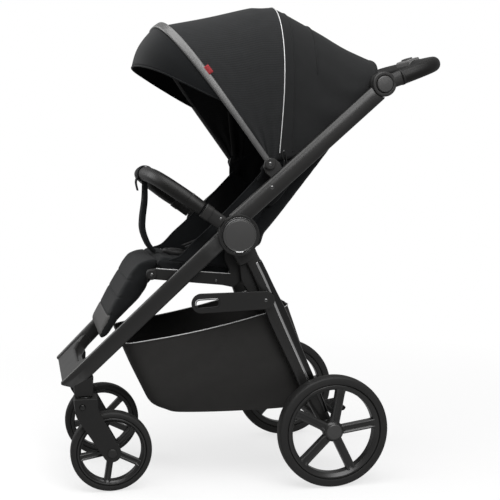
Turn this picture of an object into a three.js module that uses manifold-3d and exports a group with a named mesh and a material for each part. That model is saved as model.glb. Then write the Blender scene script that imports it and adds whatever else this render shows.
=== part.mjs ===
// Baby stroller: folding frame with swivelling front wheels, reclining seat, canopy and basket.
// Millimetres, +Z up. X runs across the stroller (its left side is +X), Y runs along it (front is -Y).
// Shapes are drawn with the rear axle at Y = 0. The outer group then moves the box's middle to Y = 0.
import * as THREE from "three";
import { mergeVertices } from "three/addons/utils/BufferGeometryUtils.js";
import Module from "manifold-3d";

const wasm = await Module();
wasm.setup();

// ---------- driving dimensions ----------
const GAP = 0.3;
const HUB = { y: -235, z: 626, radius: 49, boss: 44, bore: 8.4 };
const HANDLE_PIVOT = { y: 127, z: 985, radius: 30 };
const CANOPY_PIVOT = { y: -155, z: 794 };
const CARRY_PIVOT = { y: -165, z: 466 };
const REAR_WHEEL = { y: 0, radius: 139, x: 238, width: 38, rimOuter: 118, rimInner: 104, hub: 20, bore: 7.2, spokeStart: 8 };
const FRONT_WHEEL = { y: -535, radius: 99, x: 150, width: 34, rimOuter: 84, rimInner: 73, hub: 17, bore: 5.6, spokeStart: 45 };
const CASTER = { y: -597, top: 235.5, armInner: 20, armOuter: 29 };
const TUBE = { inner: 204, outer: 228, front: 40, upper: 43 };
const LEG = { inner: 176, outer: 202.7 };
const SEAT_HALF = 156;
const RAIL = { inner: 162, outer: 172 };
const BASKET = { rearHalf: 171, frontHalf: 152, wall: 4 };
const CLOTH = 3;
const BUMPER = { angle: 144, radius: 18.5 };
const HANDLE = { angle: 18.9, radius: 16.5, reach: 163 };
const CANOPY = { hoopReach: 418, hoopHalf: 218, hoopAngle: 125.7, bowReach: 372, bowHalf: 188, bowAngle: 96 };
const WHEEL_SEGMENTS = 28;
const BOX_MIDDLE_Y = 179.41;

// ---------- finishes ----------
const finish = {
  frame: () => standard(0x35332f, 0.42, 0.55),
  plastic: () => standard(0x2a2829, 0.55, 0),
  capPlastic: () => standard(0x3d3a3b, 0.45, 0),
  tyre: () => standard(0x252425, 0.85, 0),
  rim: () => standard(0x2c2a2b, 0.5, 0),
  leather: () => standard(0x2f2c2d, 0.5, 0),
  canopy: () => standard(0x26282b, 0.95, 0),
  seat: () => standard(0x1f2225, 0.95, 0),
  basket: () => standard(0x2c292b, 0.9, 0),
  trim: () => standard(0x4a4849, 0.8, 0),
  steel: () => standard(0x8a8886, 0.35, 0.9),
};

function standard(color, roughness, metalness) {
  return new THREE.MeshStandardMaterial({ color, roughness, metalness });
}

// ---------- solids ----------
function toSolid(geometry) {
  const bare = geometry.clone();
  bare.deleteAttribute("normal");
  bare.deleteAttribute("uv");
  const merged = mergeVertices(bare, 1e-4);
  return new wasm.Manifold(new wasm.Mesh({
    numProp: 3,
    vertProperties: new Float32Array(merged.attributes.position.array),
    triVerts: new Uint32Array(merged.index.array),
  }));
}

function toGeometry(solid) {
  const mesh = solid.getMesh();
  const geometry = new THREE.BufferGeometry();
  geometry.setAttribute("position", new THREE.BufferAttribute(new Float32Array(mesh.vertProperties), 3));
  geometry.setIndex(new THREE.BufferAttribute(new Uint32Array(mesh.triVerts), 1));
  return geometry;
}

const join = (...parts) => toGeometry(parts.map(toSolid).reduce((sum, part) => sum.add(part)));
const cut = (body, ...tools) => toGeometry(
  tools.map(toSolid).reduce((rest, tool) => rest.subtract(tool), toSolid(body)));

// A profile drawn as (y, z) and given its thickness along X.
const SIDE_VIEW = new THREE.Matrix4().makeBasis(
  new THREE.Vector3(0, 1, 0), new THREE.Vector3(0, 0, 1), new THREE.Vector3(1, 0, 0));

function sidePlate(shape, x0, x1, curveSegments = 6) {
  const geometry = new THREE.ExtrudeGeometry(shape, { depth: x1 - x0, bevelEnabled: false, curveSegments });
  return geometry.applyMatrix4(SIDE_VIEW).translate(x0, 0, 0);
}

function polygon(points) {
  return new THREE.Shape(points.map(([u, v]) => new THREE.Vector2(u, v)));
}

function discX(y, z, radius, x0, x1, segments = 20) {
  const geometry = new THREE.CylinderGeometry(radius, radius, x1 - x0, segments);
  return geometry.rotateZ(Math.PI / 2).translate((x0 + x1) / 2, y, z);
}

function ovalShape(width, height, sides = 14) {
  const points = [];
  for (let i = 0; i < sides; i += 1) {
    const angle = (2 * Math.PI * i) / sides;
    const squareness = 0.8;
    const cx = Math.sign(Math.cos(angle)) * Math.abs(Math.cos(angle)) ** squareness;
    const cy = Math.sign(Math.sin(angle)) * Math.abs(Math.sin(angle)) ** squareness;
    points.push([(cx * width) / 2, (cy * height) / 2]);
  }
  return polygon(points);
}

// An oval bar from one point to another: thickness across X, height in the side view.
function ovalBar(from, to, thickness, height) {
  const path = new THREE.LineCurve3(new THREE.Vector3(...from), new THREE.Vector3(...to));
  return new THREE.ExtrudeGeometry(ovalShape(thickness, height), { steps: 1, extrudePath: path });
}

// A round bar along a smooth curve through the given points.
function roundBar(points, radius, steps, sides = 10) {
  const path = new THREE.CatmullRomCurve3(points.map((p) => new THREE.Vector3(...p)), false, "centripetal");
  return new THREE.ExtrudeGeometry(ovalShape(2 * radius, 2 * radius, sides), { steps, extrudePath: path });
}

// A closed sheet of cloth from an outer and an inner grid of points with the same rows and columns.
function closedSheet(outer, inner) {
  const rows = outer.length;
  const columns = outer[0].length;
  const positions = [...outer.flat(), ...inner.flat()].flat();
  const at = (layer, i, j) => layer * rows * columns + i * columns + j;
  const index = [];
  const quad = (a, b, c, d) => index.push(a, b, c, a, c, d);
  for (let i = 0; i + 1 < rows; i += 1) {
    for (let j = 0; j + 1 < columns; j += 1) {
      quad(at(0, i, j), at(0, i + 1, j), at(0, i + 1, j + 1), at(0, i, j + 1));
      quad(at(1, i, j), at(1, i, j + 1), at(1, i + 1, j + 1), at(1, i + 1, j));
    }
    quad(at(0, i, 0), at(1, i, 0), at(1, i + 1, 0), at(0, i + 1, 0));
    quad(at(0, i, columns - 1), at(0, i + 1, columns - 1), at(1, i + 1, columns - 1), at(1, i, columns - 1));
  }
  for (let j = 0; j + 1 < columns; j += 1) {
    quad(at(0, 0, j), at(0, 0, j + 1), at(1, 0, j + 1), at(1, 0, j));
    quad(at(0, rows - 1, j), at(1, rows - 1, j), at(1, rows - 1, j + 1), at(0, rows - 1, j + 1));
  }
  const geometry = new THREE.BufferGeometry();
  geometry.setAttribute("position", new THREE.Float32BufferAttribute(positions, 3));
  geometry.setIndex(index);
  return outward(geometry);
}

// Turns a closed geometry's faces outward.
function outward(geometry) {
  const p = geometry.attributes.position;
  const ids = geometry.index.array;
  const [a, b, c] = [new THREE.Vector3(), new THREE.Vector3(), new THREE.Vector3()];
  let volume = 0;
  for (let i = 0; i < ids.length; i += 3) {
    a.fromBufferAttribute(p, ids[i]);
    b.fromBufferAttribute(p, ids[i + 1]);
    c.fromBufferAttribute(p, ids[i + 2]);
    volume += a.dot(b.cross(c));
  }
  if (volume < 0) {
    for (let i = 0; i < ids.length; i += 3) {
      [ids[i + 1], ids[i + 2]] = [ids[i + 2], ids[i + 1]];
    }
  }
  return geometry;
}

// A geometry mirrored to the stroller's right side.
function mirrored(geometry) {
  const copy = geometry.index ? geometry.clone() : mergeVertices(geometry.clone());
  copy.applyMatrix4(new THREE.Matrix4().makeScale(-1, 1, 1));
  return outward(copy);
}

const SIDES = [["left", (g) => g], ["right", mirrored]];
const radians = (degrees) => (degrees * Math.PI) / 180;
const polar = (centre, degrees, radius) => [
  centre.y + radius * Math.cos(radians(degrees)), centre.z + radius * Math.sin(radians(degrees))];

// ---------- the group ----------
const stroller = new THREE.Group();
const axleFrame = new THREE.Group();
axleFrame.position.y = BOX_MIDDLE_Y;
stroller.add(axleFrame);

function add(name, geometry, material) {
  const mesh = new THREE.Mesh(geometry, material);
  mesh.name = name;
  axleFrame.add(mesh);
}

function addPair(name, geometry, makeMaterial) {
  for (const [side, turn] of SIDES) add(`${name}_${side}`, turn(geometry), makeMaterial());
}

const hubBore = (x0, x1) => discX(HUB.y, HUB.z, HUB.bore, x0, x1, 16);

// ---------- front frame ----------
const FRONT_TUBE_TOP = [216, -262, 624];
const FRONT_TUBE_END = [150, -636, 262.5];

function frontTube() {
  const bar = ovalBar(FRONT_TUBE_TOP, FRONT_TUBE_END, 25, TUBE.front);
  return cut(bar, discX(HUB.y, HUB.z, HUB.boss + 2, 190, 240));
}

// The wide bar that joins the two front tubes, with a round cut on its rear side.
function frontCrossPanel() {
  const half = 137;
  const throat = 96;
  const shape = new THREE.Shape();
  shape.moveTo(-half, -14);
  shape.lineTo(half, -14);
  shape.lineTo(half, 86);
  shape.quadraticCurveTo(throat + 12, 56, throat - 24, 52);
  shape.lineTo(24 - throat, 52);
  shape.quadraticCurveTo(-throat - 12, 56, -half, 86);
  shape.closePath();
  const slab = new THREE.ExtrudeGeometry(shape, { depth: 30, bevelEnabled: false, curveSegments: 5 });
  return slab.rotateX(radians(44)).translate(0, -625, 252);
}

function casterSocket() {
  const outline = polygon([[-617, 236.5], [-577, 236.5], [-574, 246], [-574, 288], [-616, 247]]);
  return sidePlate(outline, 132, 168);
}

function hubHousing() {
  const cup = discX(HUB.y, HUB.z, HUB.radius, TUBE.outer + 1, 243, 24);
  const recess = discX(HUB.y, HUB.z, 41, 239, 250, 24);
  return cut(cup, recess, hubBore(220, 250));
}

function hubCap() {
  const profile = [[0, 239.6], [40.4, 239.6], [40.4, 246.5], [37.5, 249.6], [0, 249.6]];
  return latheX(profile, HUB.y, HUB.z, 24);
}

// A solid turned about an axis along X: the profile lists (radius, x).
function latheX(profile, y, z, segments) {
  const points = profile.map(([radius, x]) => new THREE.Vector2(radius, x));
  const [first, last] = [points[0], points[points.length - 1]];
  if (first.x !== 0 || last.x !== 0) points.push(first.clone());
  const bare = new THREE.LatheGeometry(points, segments);
  bare.deleteAttribute("normal");
  bare.deleteAttribute("uv");
  const geometry = dropSlivers(mergeVertices(bare, 1e-4));
  return outward(geometry.rotateZ(-Math.PI / 2).translate(0, y, z));
}

// Removes the triangles without area that a lathe makes on its axis.
function dropSlivers(geometry) {
  const ids = [...geometry.index.array];
  const kept = [];
  for (let i = 0; i < ids.length; i += 3) {
    const [a, b, c] = ids.slice(i, i + 3);
    if (a !== b && b !== c && a !== c) kept.push(a, b, c);
  }
  geometry.setIndex(kept);
  return geometry;
}

function hubPin() {
  return discX(HUB.y, HUB.z, HUB.bore - 0.4, 160.6, 238.6, 16);
}

// Seat rail with its arm up to the hub.
function seatRail() {
  const outline = polygon([
    [-446, 521], [-424, 518], [-262, 499], [-236, 494], [-214, 508], [-209, 560],
    [-211, 640], [-226, 650], [-246, 648], [-258, 636], [-256, 560], [-240, 524], [-424, 543], [-446, 540]]);
  return cut(sidePlate(outline, RAIL.inner, RAIL.outer), hubBore(150, 180));
}

function seatPad() {
  const outline = new THREE.Shape();
  outline.moveTo(-432, 559);
  outline.lineTo(-421, 550);
  outline.lineTo(-413, 541);
  outline.lineTo(-411, 530);
  outline.lineTo(-225, 512);
  outline.quadraticCurveTo(-212, 514, -210, 528);
  outline.lineTo(-212, 545);
  outline.quadraticCurveTo(-300, 548, -400, 565);
  outline.quadraticCurveTo(-430, 571, -432, 559);
  return sidePlate(outline, -SEAT_HALF - 4, SEAT_HALF + 4, 4);
}

// Cloth side of the seat, from the seat's front corner up to the canopy.
function seatWing() {
  const outline = new THREE.Shape();
  outline.moveTo(-390, 568);
  outline.quadraticCurveTo(-300, 640, -165, 766);
  outline.lineTo(-120, 735);
  outline.lineTo(-186, 640);
  outline.lineTo(-212, 600);
  outline.lineTo(-222, 553);
  outline.closePath();
  return sidePlate(outline, SEAT_HALF + 1, SEAT_HALF + 4, 5).translate(0, 0, 2);
}

// Open shopping basket: a tub with thin walls that is narrower at the front.
function basket() {
  const outline = [
    [-504, 352], [-492, 366], [-165, 428], [-92, 440], [-34, 265], [-14, 205], [-34, 190],
    [-132, 183], [-308, 183], [-395, 188], [-432, 206], [-452, 240]];
  const inside = [
    [-496, 352], [-486, 380], [-165, 445], [-97, 460], [-96, 438], [-38.5, 264], [-19.5, 206], [-36, 194.3],
    [-132, 187], [-308, 187], [-394, 192], [-429, 209], [-448, 242]];
  const half = (y) => THREE.MathUtils.mapLinear(y, -500, -150, BASKET.frontHalf, BASKET.rearHalf);
  const taper = (points, wall) => {
    const geometry = sidePlate(polygon(points), -1, 1);
    const p = geometry.attributes.position;
    for (let i = 0; i < p.count; i += 1) {
      const reach = Math.min(half(p.getY(i)), BASKET.rearHalf) - wall;
      p.setX(i, p.getX(i) * reach);
    }
    return geometry;
  };
  return cut(taper(outline, 0), taper(inside, BASKET.wall));
}

// ---------- rear legs ----------
function rearLeg(withCarryBoss) {
  const axis = [[-219, 603], [-141, 445], [-58, 262], [0, 139]];
  const halfWidths = [24, 24, 21, 16];
  const lean = radians(24.6);
  const edge = (side) => axis.map(([y, z], i) => [
    y + side * halfWidths[i] * Math.cos(lean), z + side * halfWidths[i] * Math.sin(lean)]);
  const shaft = sidePlate(polygon([...edge(-1), ...edge(1).reverse()]), LEG.inner, LEG.outer);
  const boss = discX(HUB.y, HUB.z, HUB.boss - 2, LEG.inner, LEG.outer);
  const foot = discX(0, REAR_WHEEL.radius, 20, LEG.inner, LEG.outer + 6, 20);
  const parts = [shaft, boss, foot];
  if (withCarryBoss) parts.push(discX(CARRY_PIVOT.y, CARRY_PIVOT.z, 11, LEG.outer - 4, 216.4, 16));
  const axleBore = discX(0, REAR_WHEEL.radius, 7, 170, 215, 16);
  return cut(join(...parts), hubBore(170, 210), axleBore);
}

function rearAxle() {
  const profile = [
    [0, -254], [6.6, -254], [6.6, -175.4], [14, -175.4], [14, 175.4], [6.6, 175.4], [6.6, 254], [0, 254]];
  return latheX(profile, 0, REAR_WHEEL.radius, 16);
}

function brakePedal() {
  const outline = polygon([[16, 163], [24, 158], [58, 168], [60, 174], [56, 177], [22, 172]]);
  return sidePlate(outline, 70, 158);
}

function carryHandle() {
  const [rear, front] = [CARRY_PIVOT.y, -323];
  const shape = new THREE.Shape();
  shape.moveTo(rear, CARRY_PIVOT.z - 22);
  shape.absarc(rear, CARRY_PIVOT.z, 22, -Math.PI / 2, Math.PI / 2, false);
  shape.lineTo(front, 487);
  shape.absarc(front, 463, 24, Math.PI / 2, (3 * Math.PI) / 2, false);
  shape.closePath();
  const slot = new THREE.Path();
  slot.moveTo(-326, 450);
  slot.lineTo(-286, 458);
  slot.quadraticCurveTo(-278, 466, -288, 473);
  slot.lineTo(-326, 473);
  slot.quadraticCurveTo(-338, 462, -326, 450);
  shape.holes.push(slot);
  return sidePlate(shape, 217, 222, 6);
}

// ---------- handle frame ----------
const UPPER_TUBE_START = [-203, 689];
const UPPER_TUBE_END = [103, 954];

function upperTube() {
  const middle = (TUBE.inner + TUBE.outer) / 2;
  const bar = ovalBar([middle, ...UPPER_TUBE_START], [middle, ...UPPER_TUBE_END], 24, TUBE.upper);
  const boss = discX(HUB.y, HUB.z, HUB.boss, TUBE.inner, TUBE.outer);
  const neck = sidePlate(polygon([[-232, 656], [-218, 645], [-180, 678], [-207, 709], [-232, 680]]),
    TUBE.inner + 1.5, TUBE.outer - 1.5);
  const pivotRoom = discX(HANDLE_PIVOT.y, HANDLE_PIVOT.z, HANDLE_PIVOT.radius + 1, 190, 240);
  return cut(join(bar, boss, neck), pivotRoom, hubBore(190, 240));
}

// Fixed inner half of the handle's hinge.
function handleJoint() {
  return discX(HANDLE_PIVOT.y, HANDLE_PIVOT.z, HANDLE_PIVOT.radius, 202, 216, 20);
}

function canopyBracket() {
  const outline = new THREE.Shape();
  outline.moveTo(-168, 752);
  outline.lineTo(-128, 786.5);
  outline.lineTo(-141, 800);
  outline.absarc(CANOPY_PIVOT.y, CANOPY_PIVOT.z, 14, radians(20), radians(190), false);
  outline.closePath();
  return sidePlate(outline, 204.5, 212.4, 6);
}

// ---------- canopy ----------
const ARCH_POWER = 2 / 3;

// One arch of the canopy: from base over the apex (both y, z) to the other side, halfWidth wide.
function arch(base, apex, halfWidth, columns, start = 0.2) {
  const row = [];
  for (let j = 0; j < columns; j += 1) {
    const angle = start + ((Math.PI - 2 * start) * j) / (columns - 1);
    const across = Math.sign(Math.cos(angle)) * Math.abs(Math.cos(angle)) ** ARCH_POWER;
    const rise = Math.sin(angle) ** ARCH_POWER;
    row.push([
      halfWidth * across, base[0] + (apex[0] - base[0]) * rise, base[1] + (apex[1] - base[1]) * rise]);
  }
  return row;
}

function archBand(angle, reach, halfWidth, thickness, depth, start, segments = 20) {
  const side = (inset) => {
    const points = [];
    for (let j = 0; j <= segments; j += 1) {
      const turn = start + ((Math.PI - 2 * start) * j) / segments;
      const across = Math.sign(Math.cos(turn)) * Math.abs(Math.cos(turn)) ** ARCH_POWER;
      points.push([(halfWidth - inset) * across, (reach - inset) * Math.sin(turn) ** ARCH_POWER]);
    }
    return points;
  };
  const shape = polygon([...side(0), ...side(thickness).reverse()]);
  const band = new THREE.ExtrudeGeometry(shape, { depth, bevelEnabled: false });
  band.translate(0, 0, -depth / 2);
  return band.rotateX(radians(angle)).translate(0, CANOPY_PIVOT.y, CANOPY_PIVOT.z);
}

const pivotPoint = [CANOPY_PIVOT.y, CANOPY_PIVOT.z];
const CANOPY_COLUMNS = 17;

function canopyFrontPanel() {
  const rows = [[97, 392, 204], [104, 390, 204], [111, 392, 205], [118, 400, 207], [123.6, 411, 209]];
  const grid = (inset) => rows.map(([angle, reach, halfWidth]) => arch(
    pivotPoint, polar(CANOPY_PIVOT, angle, reach - inset), halfWidth - inset, CANOPY_COLUMNS, 0.03));
  return closedSheet(grid(0), grid(CLOTH));
}

// Rear half of the canopy: its lower edge follows the upper tubes back to the handle's hinges.
function canopyRearPanel() {
  const sections = [
    [[-146, 800], [-189.5, 1173], 194], [[-128, 802], [-130.5, 1174], 193], [[-85, 838], [-61, 1152], 189],
    [[-30, 884], [8, 1112], 182], [[30, 935], [76, 1076], 180], [[84, 979], [128, 1050], 186]];
  const grid = (inset) => sections.map(([base, apex, halfWidth]) => {
    const rise = Math.hypot(apex[0] - base[0], apex[1] - base[1]);
    const share = (rise - inset) / rise;
    const lowered = [base[0] + (apex[0] - base[0]) * share, base[1] + (apex[1] - base[1]) * share];
    return arch(base, lowered, halfWidth - inset, CANOPY_COLUMNS, 0.02);
  });
  return closedSheet(grid(0), grid(CLOTH));
}

function canopyHoop() {
  const band = archBand(CANOPY.hoopAngle, CANOPY.hoopReach, CANOPY.hoopHalf, 5, 18, 0.004);
  const eye = discX(CANOPY_PIVOT.y, CANOPY_PIVOT.z, 14, 216.5, 222.5, 20);
  const eyes = [eye, mirrored(eye)];
  return join(band, ...eyes);
}

function canopyVisor() {
  const columns = 15;
  const start = 0.62;
  const reaches = [0, 0.5, 1];
  const edge = (inset) => reaches.map((share) => {
    const row = [];
    for (let j = 0; j < columns; j += 1) {
      const turn = start + ((Math.PI - 2 * start) * j) / (columns - 1);
      const across = Math.sign(Math.cos(turn)) * Math.abs(Math.cos(turn)) ** ARCH_POWER;
      const rise = Math.sin(turn) ** ARCH_POWER;
      const [y, z] = polar(CANOPY_PIVOT, CANOPY.hoopAngle + 1.6, (416 - inset) * rise);
      const top = THREE.MathUtils.smoothstep((turn < Math.PI / 2 ? turn : Math.PI - turn), start - 0.1, 1.45);
      const bulge = 10 * Math.sin(Math.PI * share);
      row.push([
        (212 - inset) * across * (1 - 0.05 * share), y - 4 - (40 * share + bulge) * top - 4 * share,
        z + 2 - 88 * share * top - 6 * share]);
    }
    return row;
  });
  return closedSheet(edge(0), edge(CLOTH));
}

// ---------- seat back, leg rest ----------
function backrest() {
  const outline = polygon([
    [-166, 572], [-158, 596], [-148, 624], [45, 863], [86, 914], [84, 926], [54, 940], [40, 930],
    [-183, 652], [-203, 612], [-204, 590], [-196, 572]]);
  return sidePlate(outline, -SEAT_HALF, SEAT_HALF);
}

function legRest() {
  const outline = new THREE.Shape();
  outline.moveTo(-437, 546);
  outline.quadraticCurveTo(-457, 553, -481, 516);
  outline.lineTo(-514, 466);
  outline.lineTo(-566, 376);
  outline.quadraticCurveTo(-560, 362, -545, 375);
  outline.lineTo(-514, 415);
  outline.lineTo(-462, 470);
  outline.lineTo(-449, 512);
  outline.lineTo(-438, 522);
  outline.closePath();
  return sidePlate(outline, -138, 138, 5).translate(0, -8, 0);
}

// ---------- bumper bar ----------
const bumperPoint = (x, reach) => [x, ...polar(HUB, BUMPER.angle, reach)];

function bumperArm() {
  const collar = ovalBar(bumperPoint(237, 50), bumperPoint(235.5, 106), 15, 34);
  return cut(collar, discX(HUB.y, HUB.z, HUB.radius + GAP + 0.3, 200, 260, 36));
}

function bumperBar() {
  const half = [
    [233, 107], [226, 140], [211, 176], [186, 207], [145, 228], [80, 237]];
  const points = [...half, [0, 239], ...half.map(([x, reach]) => [-x, reach]).reverse()];
  return roundBar(points.map(([x, reach]) => bumperPoint(x, reach)), BUMPER.radius, 24, 8);
}

// Strap from the bumper bar down to the seat between the child's legs.
function crotchStrap() {
  const outline = polygon([
    [-436, 712], [-430, 712], [-434, 660], [-432, 622], [-414, 574], [-420, 572], [-438, 620], [-441, 660]]);
  return sidePlate(outline, -16, 16);
}

// ---------- handle ----------
const handlePoint = (x, reach) => [x, ...polar(HANDLE_PIVOT, HANDLE.angle, reach)];

function handleArm() {
  const disc = discX(HANDLE_PIVOT.y, HANDLE_PIVOT.z, HANDLE_PIVOT.radius, 216.4, 233, 20);
  const stub = ovalBar(handlePoint(221, 20), handlePoint(219, 60), 23, 32);
  const inner = discX(HANDLE_PIVOT.y, HANDLE_PIVOT.z, HANDLE_PIVOT.radius + 0.6, 195, 216.4, 20);
  const seat = discX(HANDLE_PIVOT.y, HANDLE_PIVOT.z, 20.6, 226, 240, 20);
  return cut(join(disc, stub), inner, seat);
}

function handleGrip() {
  const half = [[217, 61], [215, 90], [207, 122], [188, 146], [156, 158], [90, 162]];
  const points = [...half, [0, HANDLE.reach], ...half.map(([x, reach]) => [-x, reach]).reverse()];
  return roundBar(points.map(([x, reach]) => handlePoint(x, reach)), HANDLE.radius, 22, 8);
}

const ALONG_HANDLE = radians(HANDLE.angle);

function onHandle(geometry, reach, lift) {
  const [y, z] = polar(HANDLE_PIVOT, HANDLE.angle, reach);
  const up = [-Math.sin(ALONG_HANDLE) * lift, Math.cos(ALONG_HANDLE) * lift];
  return geometry.rotateX(ALONG_HANDLE).translate(0, y + up[0], z + up[1]);
}

function foldButtonHousing() {
  const block = onHandle(new THREE.BoxGeometry(92, 30, 22), HANDLE.reach, 13);
  const recess = onHandle(new THREE.BoxGeometry(41, 17, 10), HANDLE.reach, 23.4);
  const barRoom = HANDLE.radius + 1.8;
  const bar = discX(...polar(HANDLE_PIVOT, HANDLE.angle, HANDLE.reach - 0.2), barRoom, -60, 60, 24);
  return cut(block, recess, bar);
}

function foldButton() {
  return onHandle(new THREE.BoxGeometry(40, 16, 6), HANDLE.reach, 24.6);
}

function handleButton() {
  const profile = [[0, 229.6], [20, 229.6], [20, 235], [18, 236.4], [0, 236.8]];
  return latheX(profile, HANDLE_PIVOT.y, HANDLE_PIVOT.z, 20);
}

// ---------- wheels ----------
function tyre(wheel) {
  const half = wheel.width / 2;
  const { radius, rimOuter } = wheel;
  const profile = [
    [rimOuter + GAP, -half * 0.72], [radius - 9, -half * 0.95], [radius - 3, -half * 0.66], [radius, 0],
    [radius - 3, half * 0.66], [radius - 9, half * 0.95], [rimOuter + GAP, half * 0.72]];
  return latheX(profile.map(([r, x]) => [r, x + wheel.x]), wheel.y, radius, WHEEL_SEGMENTS);
}

function rim(wheel) {
  const half = wheel.width / 2;
  const ring = latheX([
    [wheel.rimInner, wheel.x - half * 0.55], [wheel.rimOuter, wheel.x - half * 0.6],
    [wheel.rimOuter, wheel.x + half * 0.6], [wheel.rimInner, wheel.x + half * 0.55]],
  wheel.y, wheel.radius, WHEEL_SEGMENTS);
  const hub = discX(wheel.y, wheel.radius, wheel.hub, wheel.x - half * 0.95, wheel.x + half * 0.95, 20);
  const spokes = [];
  for (let i = 0; i < 5; i += 1) {
    const spoke = new THREE.BoxGeometry(half * 0.8, wheel.rimInner - wheel.hub + 10, wheel.hub * 0.9);
    spoke.translate(0, (wheel.rimInner + wheel.hub) / 2 - 1, 0);
    spoke.rotateX(radians(wheel.spokeStart + 72 * i)).translate(wheel.x, wheel.y, wheel.radius);
    spokes.push(spoke);
  }
  const hole = discX(wheel.y, wheel.radius, wheel.bore, wheel.x - 60, wheel.x + half + 5, 16);
  return cut(join(ring, hub, ...spokes), hole);
}

// ---------- front casters ----------
function casterFork() {
  const { y, radius, x } = FRONT_WHEEL;
  const outline = new THREE.Shape();
  outline.moveTo(-618, CASTER.top);
  outline.lineTo(-616, 194);
  outline.lineTo(-554, 87);
  outline.absarc(y, radius, 22, radians(215), radians(395), false);
  outline.lineTo(-569, 208);
  outline.lineTo(-572, CASTER.top);
  outline.closePath();
  const whole = sidePlate(outline, x - CASTER.armOuter, x + CASTER.armOuter, 6);
  const wheelRoom = discX(y, radius, radius + 9, x - CASTER.armInner, x + CASTER.armInner, 32);
  const lockHole = discX(-604, 216, 7, x + CASTER.armOuter - 8, x + CASTER.armOuter + 5, 16);
  const pin = discX(y, radius, 5, x - CASTER.armInner - 2, x + CASTER.armInner + 2, 12);
  return join(cut(whole, wheelRoom, lockHole), pin);
}

function swivelLock() {
  const outer = FRONT_WHEEL.x + CASTER.armOuter;
  return discX(-604, 216, 6.4, outer - 5, outer + 2.6, 16);
}

// ---------- assembly ----------
addPair("front_tube", frontTube(), finish.frame);
add("front_cross_panel", frontCrossPanel(), finish.frame());
addPair("caster_socket", casterSocket(), finish.plastic);
addPair("hub_housing", hubHousing(), finish.plastic);
addPair("hub_cap", hubCap(), finish.capPlastic);
addPair("hub_pin", hubPin(), finish.steel);
addPair("seat_rail", seatRail(), finish.plastic);
add("seat_pad", seatPad(), finish.seat());
addPair("seat_wing", seatWing(), finish.seat);
add("basket", basket(), finish.basket());

add("rear_leg_left", rearLeg(true), finish.frame());
add("rear_leg_right", mirrored(rearLeg(false)), finish.frame());
add("rear_axle", rearAxle(), finish.steel());
add("brake_pedal", brakePedal(), finish.plastic());
add("carry_handle", carryHandle(), finish.plastic());

addPair("upper_tube", upperTube(), finish.frame);
addPair("handle_joint", handleJoint(), finish.plastic);
addPair("canopy_bracket", canopyBracket(), finish.plastic);
add("canopy_bow", archBand(CANOPY.bowAngle, CANOPY.bowReach, CANOPY.bowHalf, 5, 12, 0.05), finish.plastic());
add("canopy_rear_panel", canopyRearPanel(), finish.canopy());
add("canopy_front_panel", canopyFrontPanel(), finish.canopy());
add("canopy_hoop", canopyHoop(), finish.trim());
add("canopy_visor", canopyVisor(), finish.canopy());

add("backrest", backrest(), finish.seat());
add("leg_rest", legRest(), finish.seat());

addPair("bumper_arm", bumperArm(), finish.plastic);
add("bumper_bar", bumperBar(), finish.leather());
add("crotch_strap", crotchStrap(), finish.seat());

addPair("handle_arm", handleArm(), finish.plastic);
add("handle_grip", handleGrip(), finish.leather());
addPair("handle_button", handleButton(), finish.capPlastic);
add("fold_button_housing", foldButtonHousing(), finish.plastic());
add("fold_button", foldButton(), finish.capPlastic());

addPair("caster_fork", casterFork(), finish.plastic);
addPair("swivel_lock", swivelLock(), finish.capPlastic);
addPair("front_tyre", tyre(FRONT_WHEEL), finish.tyre);
addPair("front_rim", rim(FRONT_WHEEL), finish.rim);
addPair("rear_tyre", tyre(REAR_WHEEL), finish.tyre);
addPair("rear_rim", rim(REAR_WHEEL), finish.rim);

export default stroller;
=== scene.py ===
"""Looks of a folding baby stroller, dressed over its packed working model.

Points are millimetres from the rear axle's middle: X to the stroller's left, Y to its rear, Z up.
``place`` turns them into the frame's metres. Each sub-assembly is a class that builds and dresses its pieces.
"""
import logging
import math
from dataclasses import dataclass
from enum import Enum
from typing import Callable, Sequence

import bmesh
import bpy
from mathutils import Matrix, Vector


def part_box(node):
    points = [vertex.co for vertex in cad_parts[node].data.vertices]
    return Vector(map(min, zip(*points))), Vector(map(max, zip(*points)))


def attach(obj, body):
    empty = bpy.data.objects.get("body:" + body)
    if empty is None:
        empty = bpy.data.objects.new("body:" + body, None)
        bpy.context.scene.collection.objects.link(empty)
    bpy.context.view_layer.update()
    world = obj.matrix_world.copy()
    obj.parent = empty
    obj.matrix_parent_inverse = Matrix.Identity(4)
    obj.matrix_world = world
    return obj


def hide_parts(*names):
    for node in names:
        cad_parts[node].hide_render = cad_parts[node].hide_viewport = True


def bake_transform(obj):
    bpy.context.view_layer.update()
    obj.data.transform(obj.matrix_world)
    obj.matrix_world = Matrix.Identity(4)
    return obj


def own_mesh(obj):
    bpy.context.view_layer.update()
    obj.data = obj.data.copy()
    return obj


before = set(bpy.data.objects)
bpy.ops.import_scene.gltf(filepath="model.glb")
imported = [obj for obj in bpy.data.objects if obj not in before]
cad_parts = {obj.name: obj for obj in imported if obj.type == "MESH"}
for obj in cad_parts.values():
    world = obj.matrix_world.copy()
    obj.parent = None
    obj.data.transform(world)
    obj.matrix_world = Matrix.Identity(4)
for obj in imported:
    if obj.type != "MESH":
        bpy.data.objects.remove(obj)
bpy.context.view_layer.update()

LOG = logging.getLogger("stroller")
MM = 0.001
Point = tuple[float, float, float]
Flat = tuple[float, float]
Mesh = bpy.types.Object


def middle(node: str) -> Vector:
    """Middle of a CAD node's box, in metres."""
    low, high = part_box(node)
    return (low + high) / 2


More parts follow.
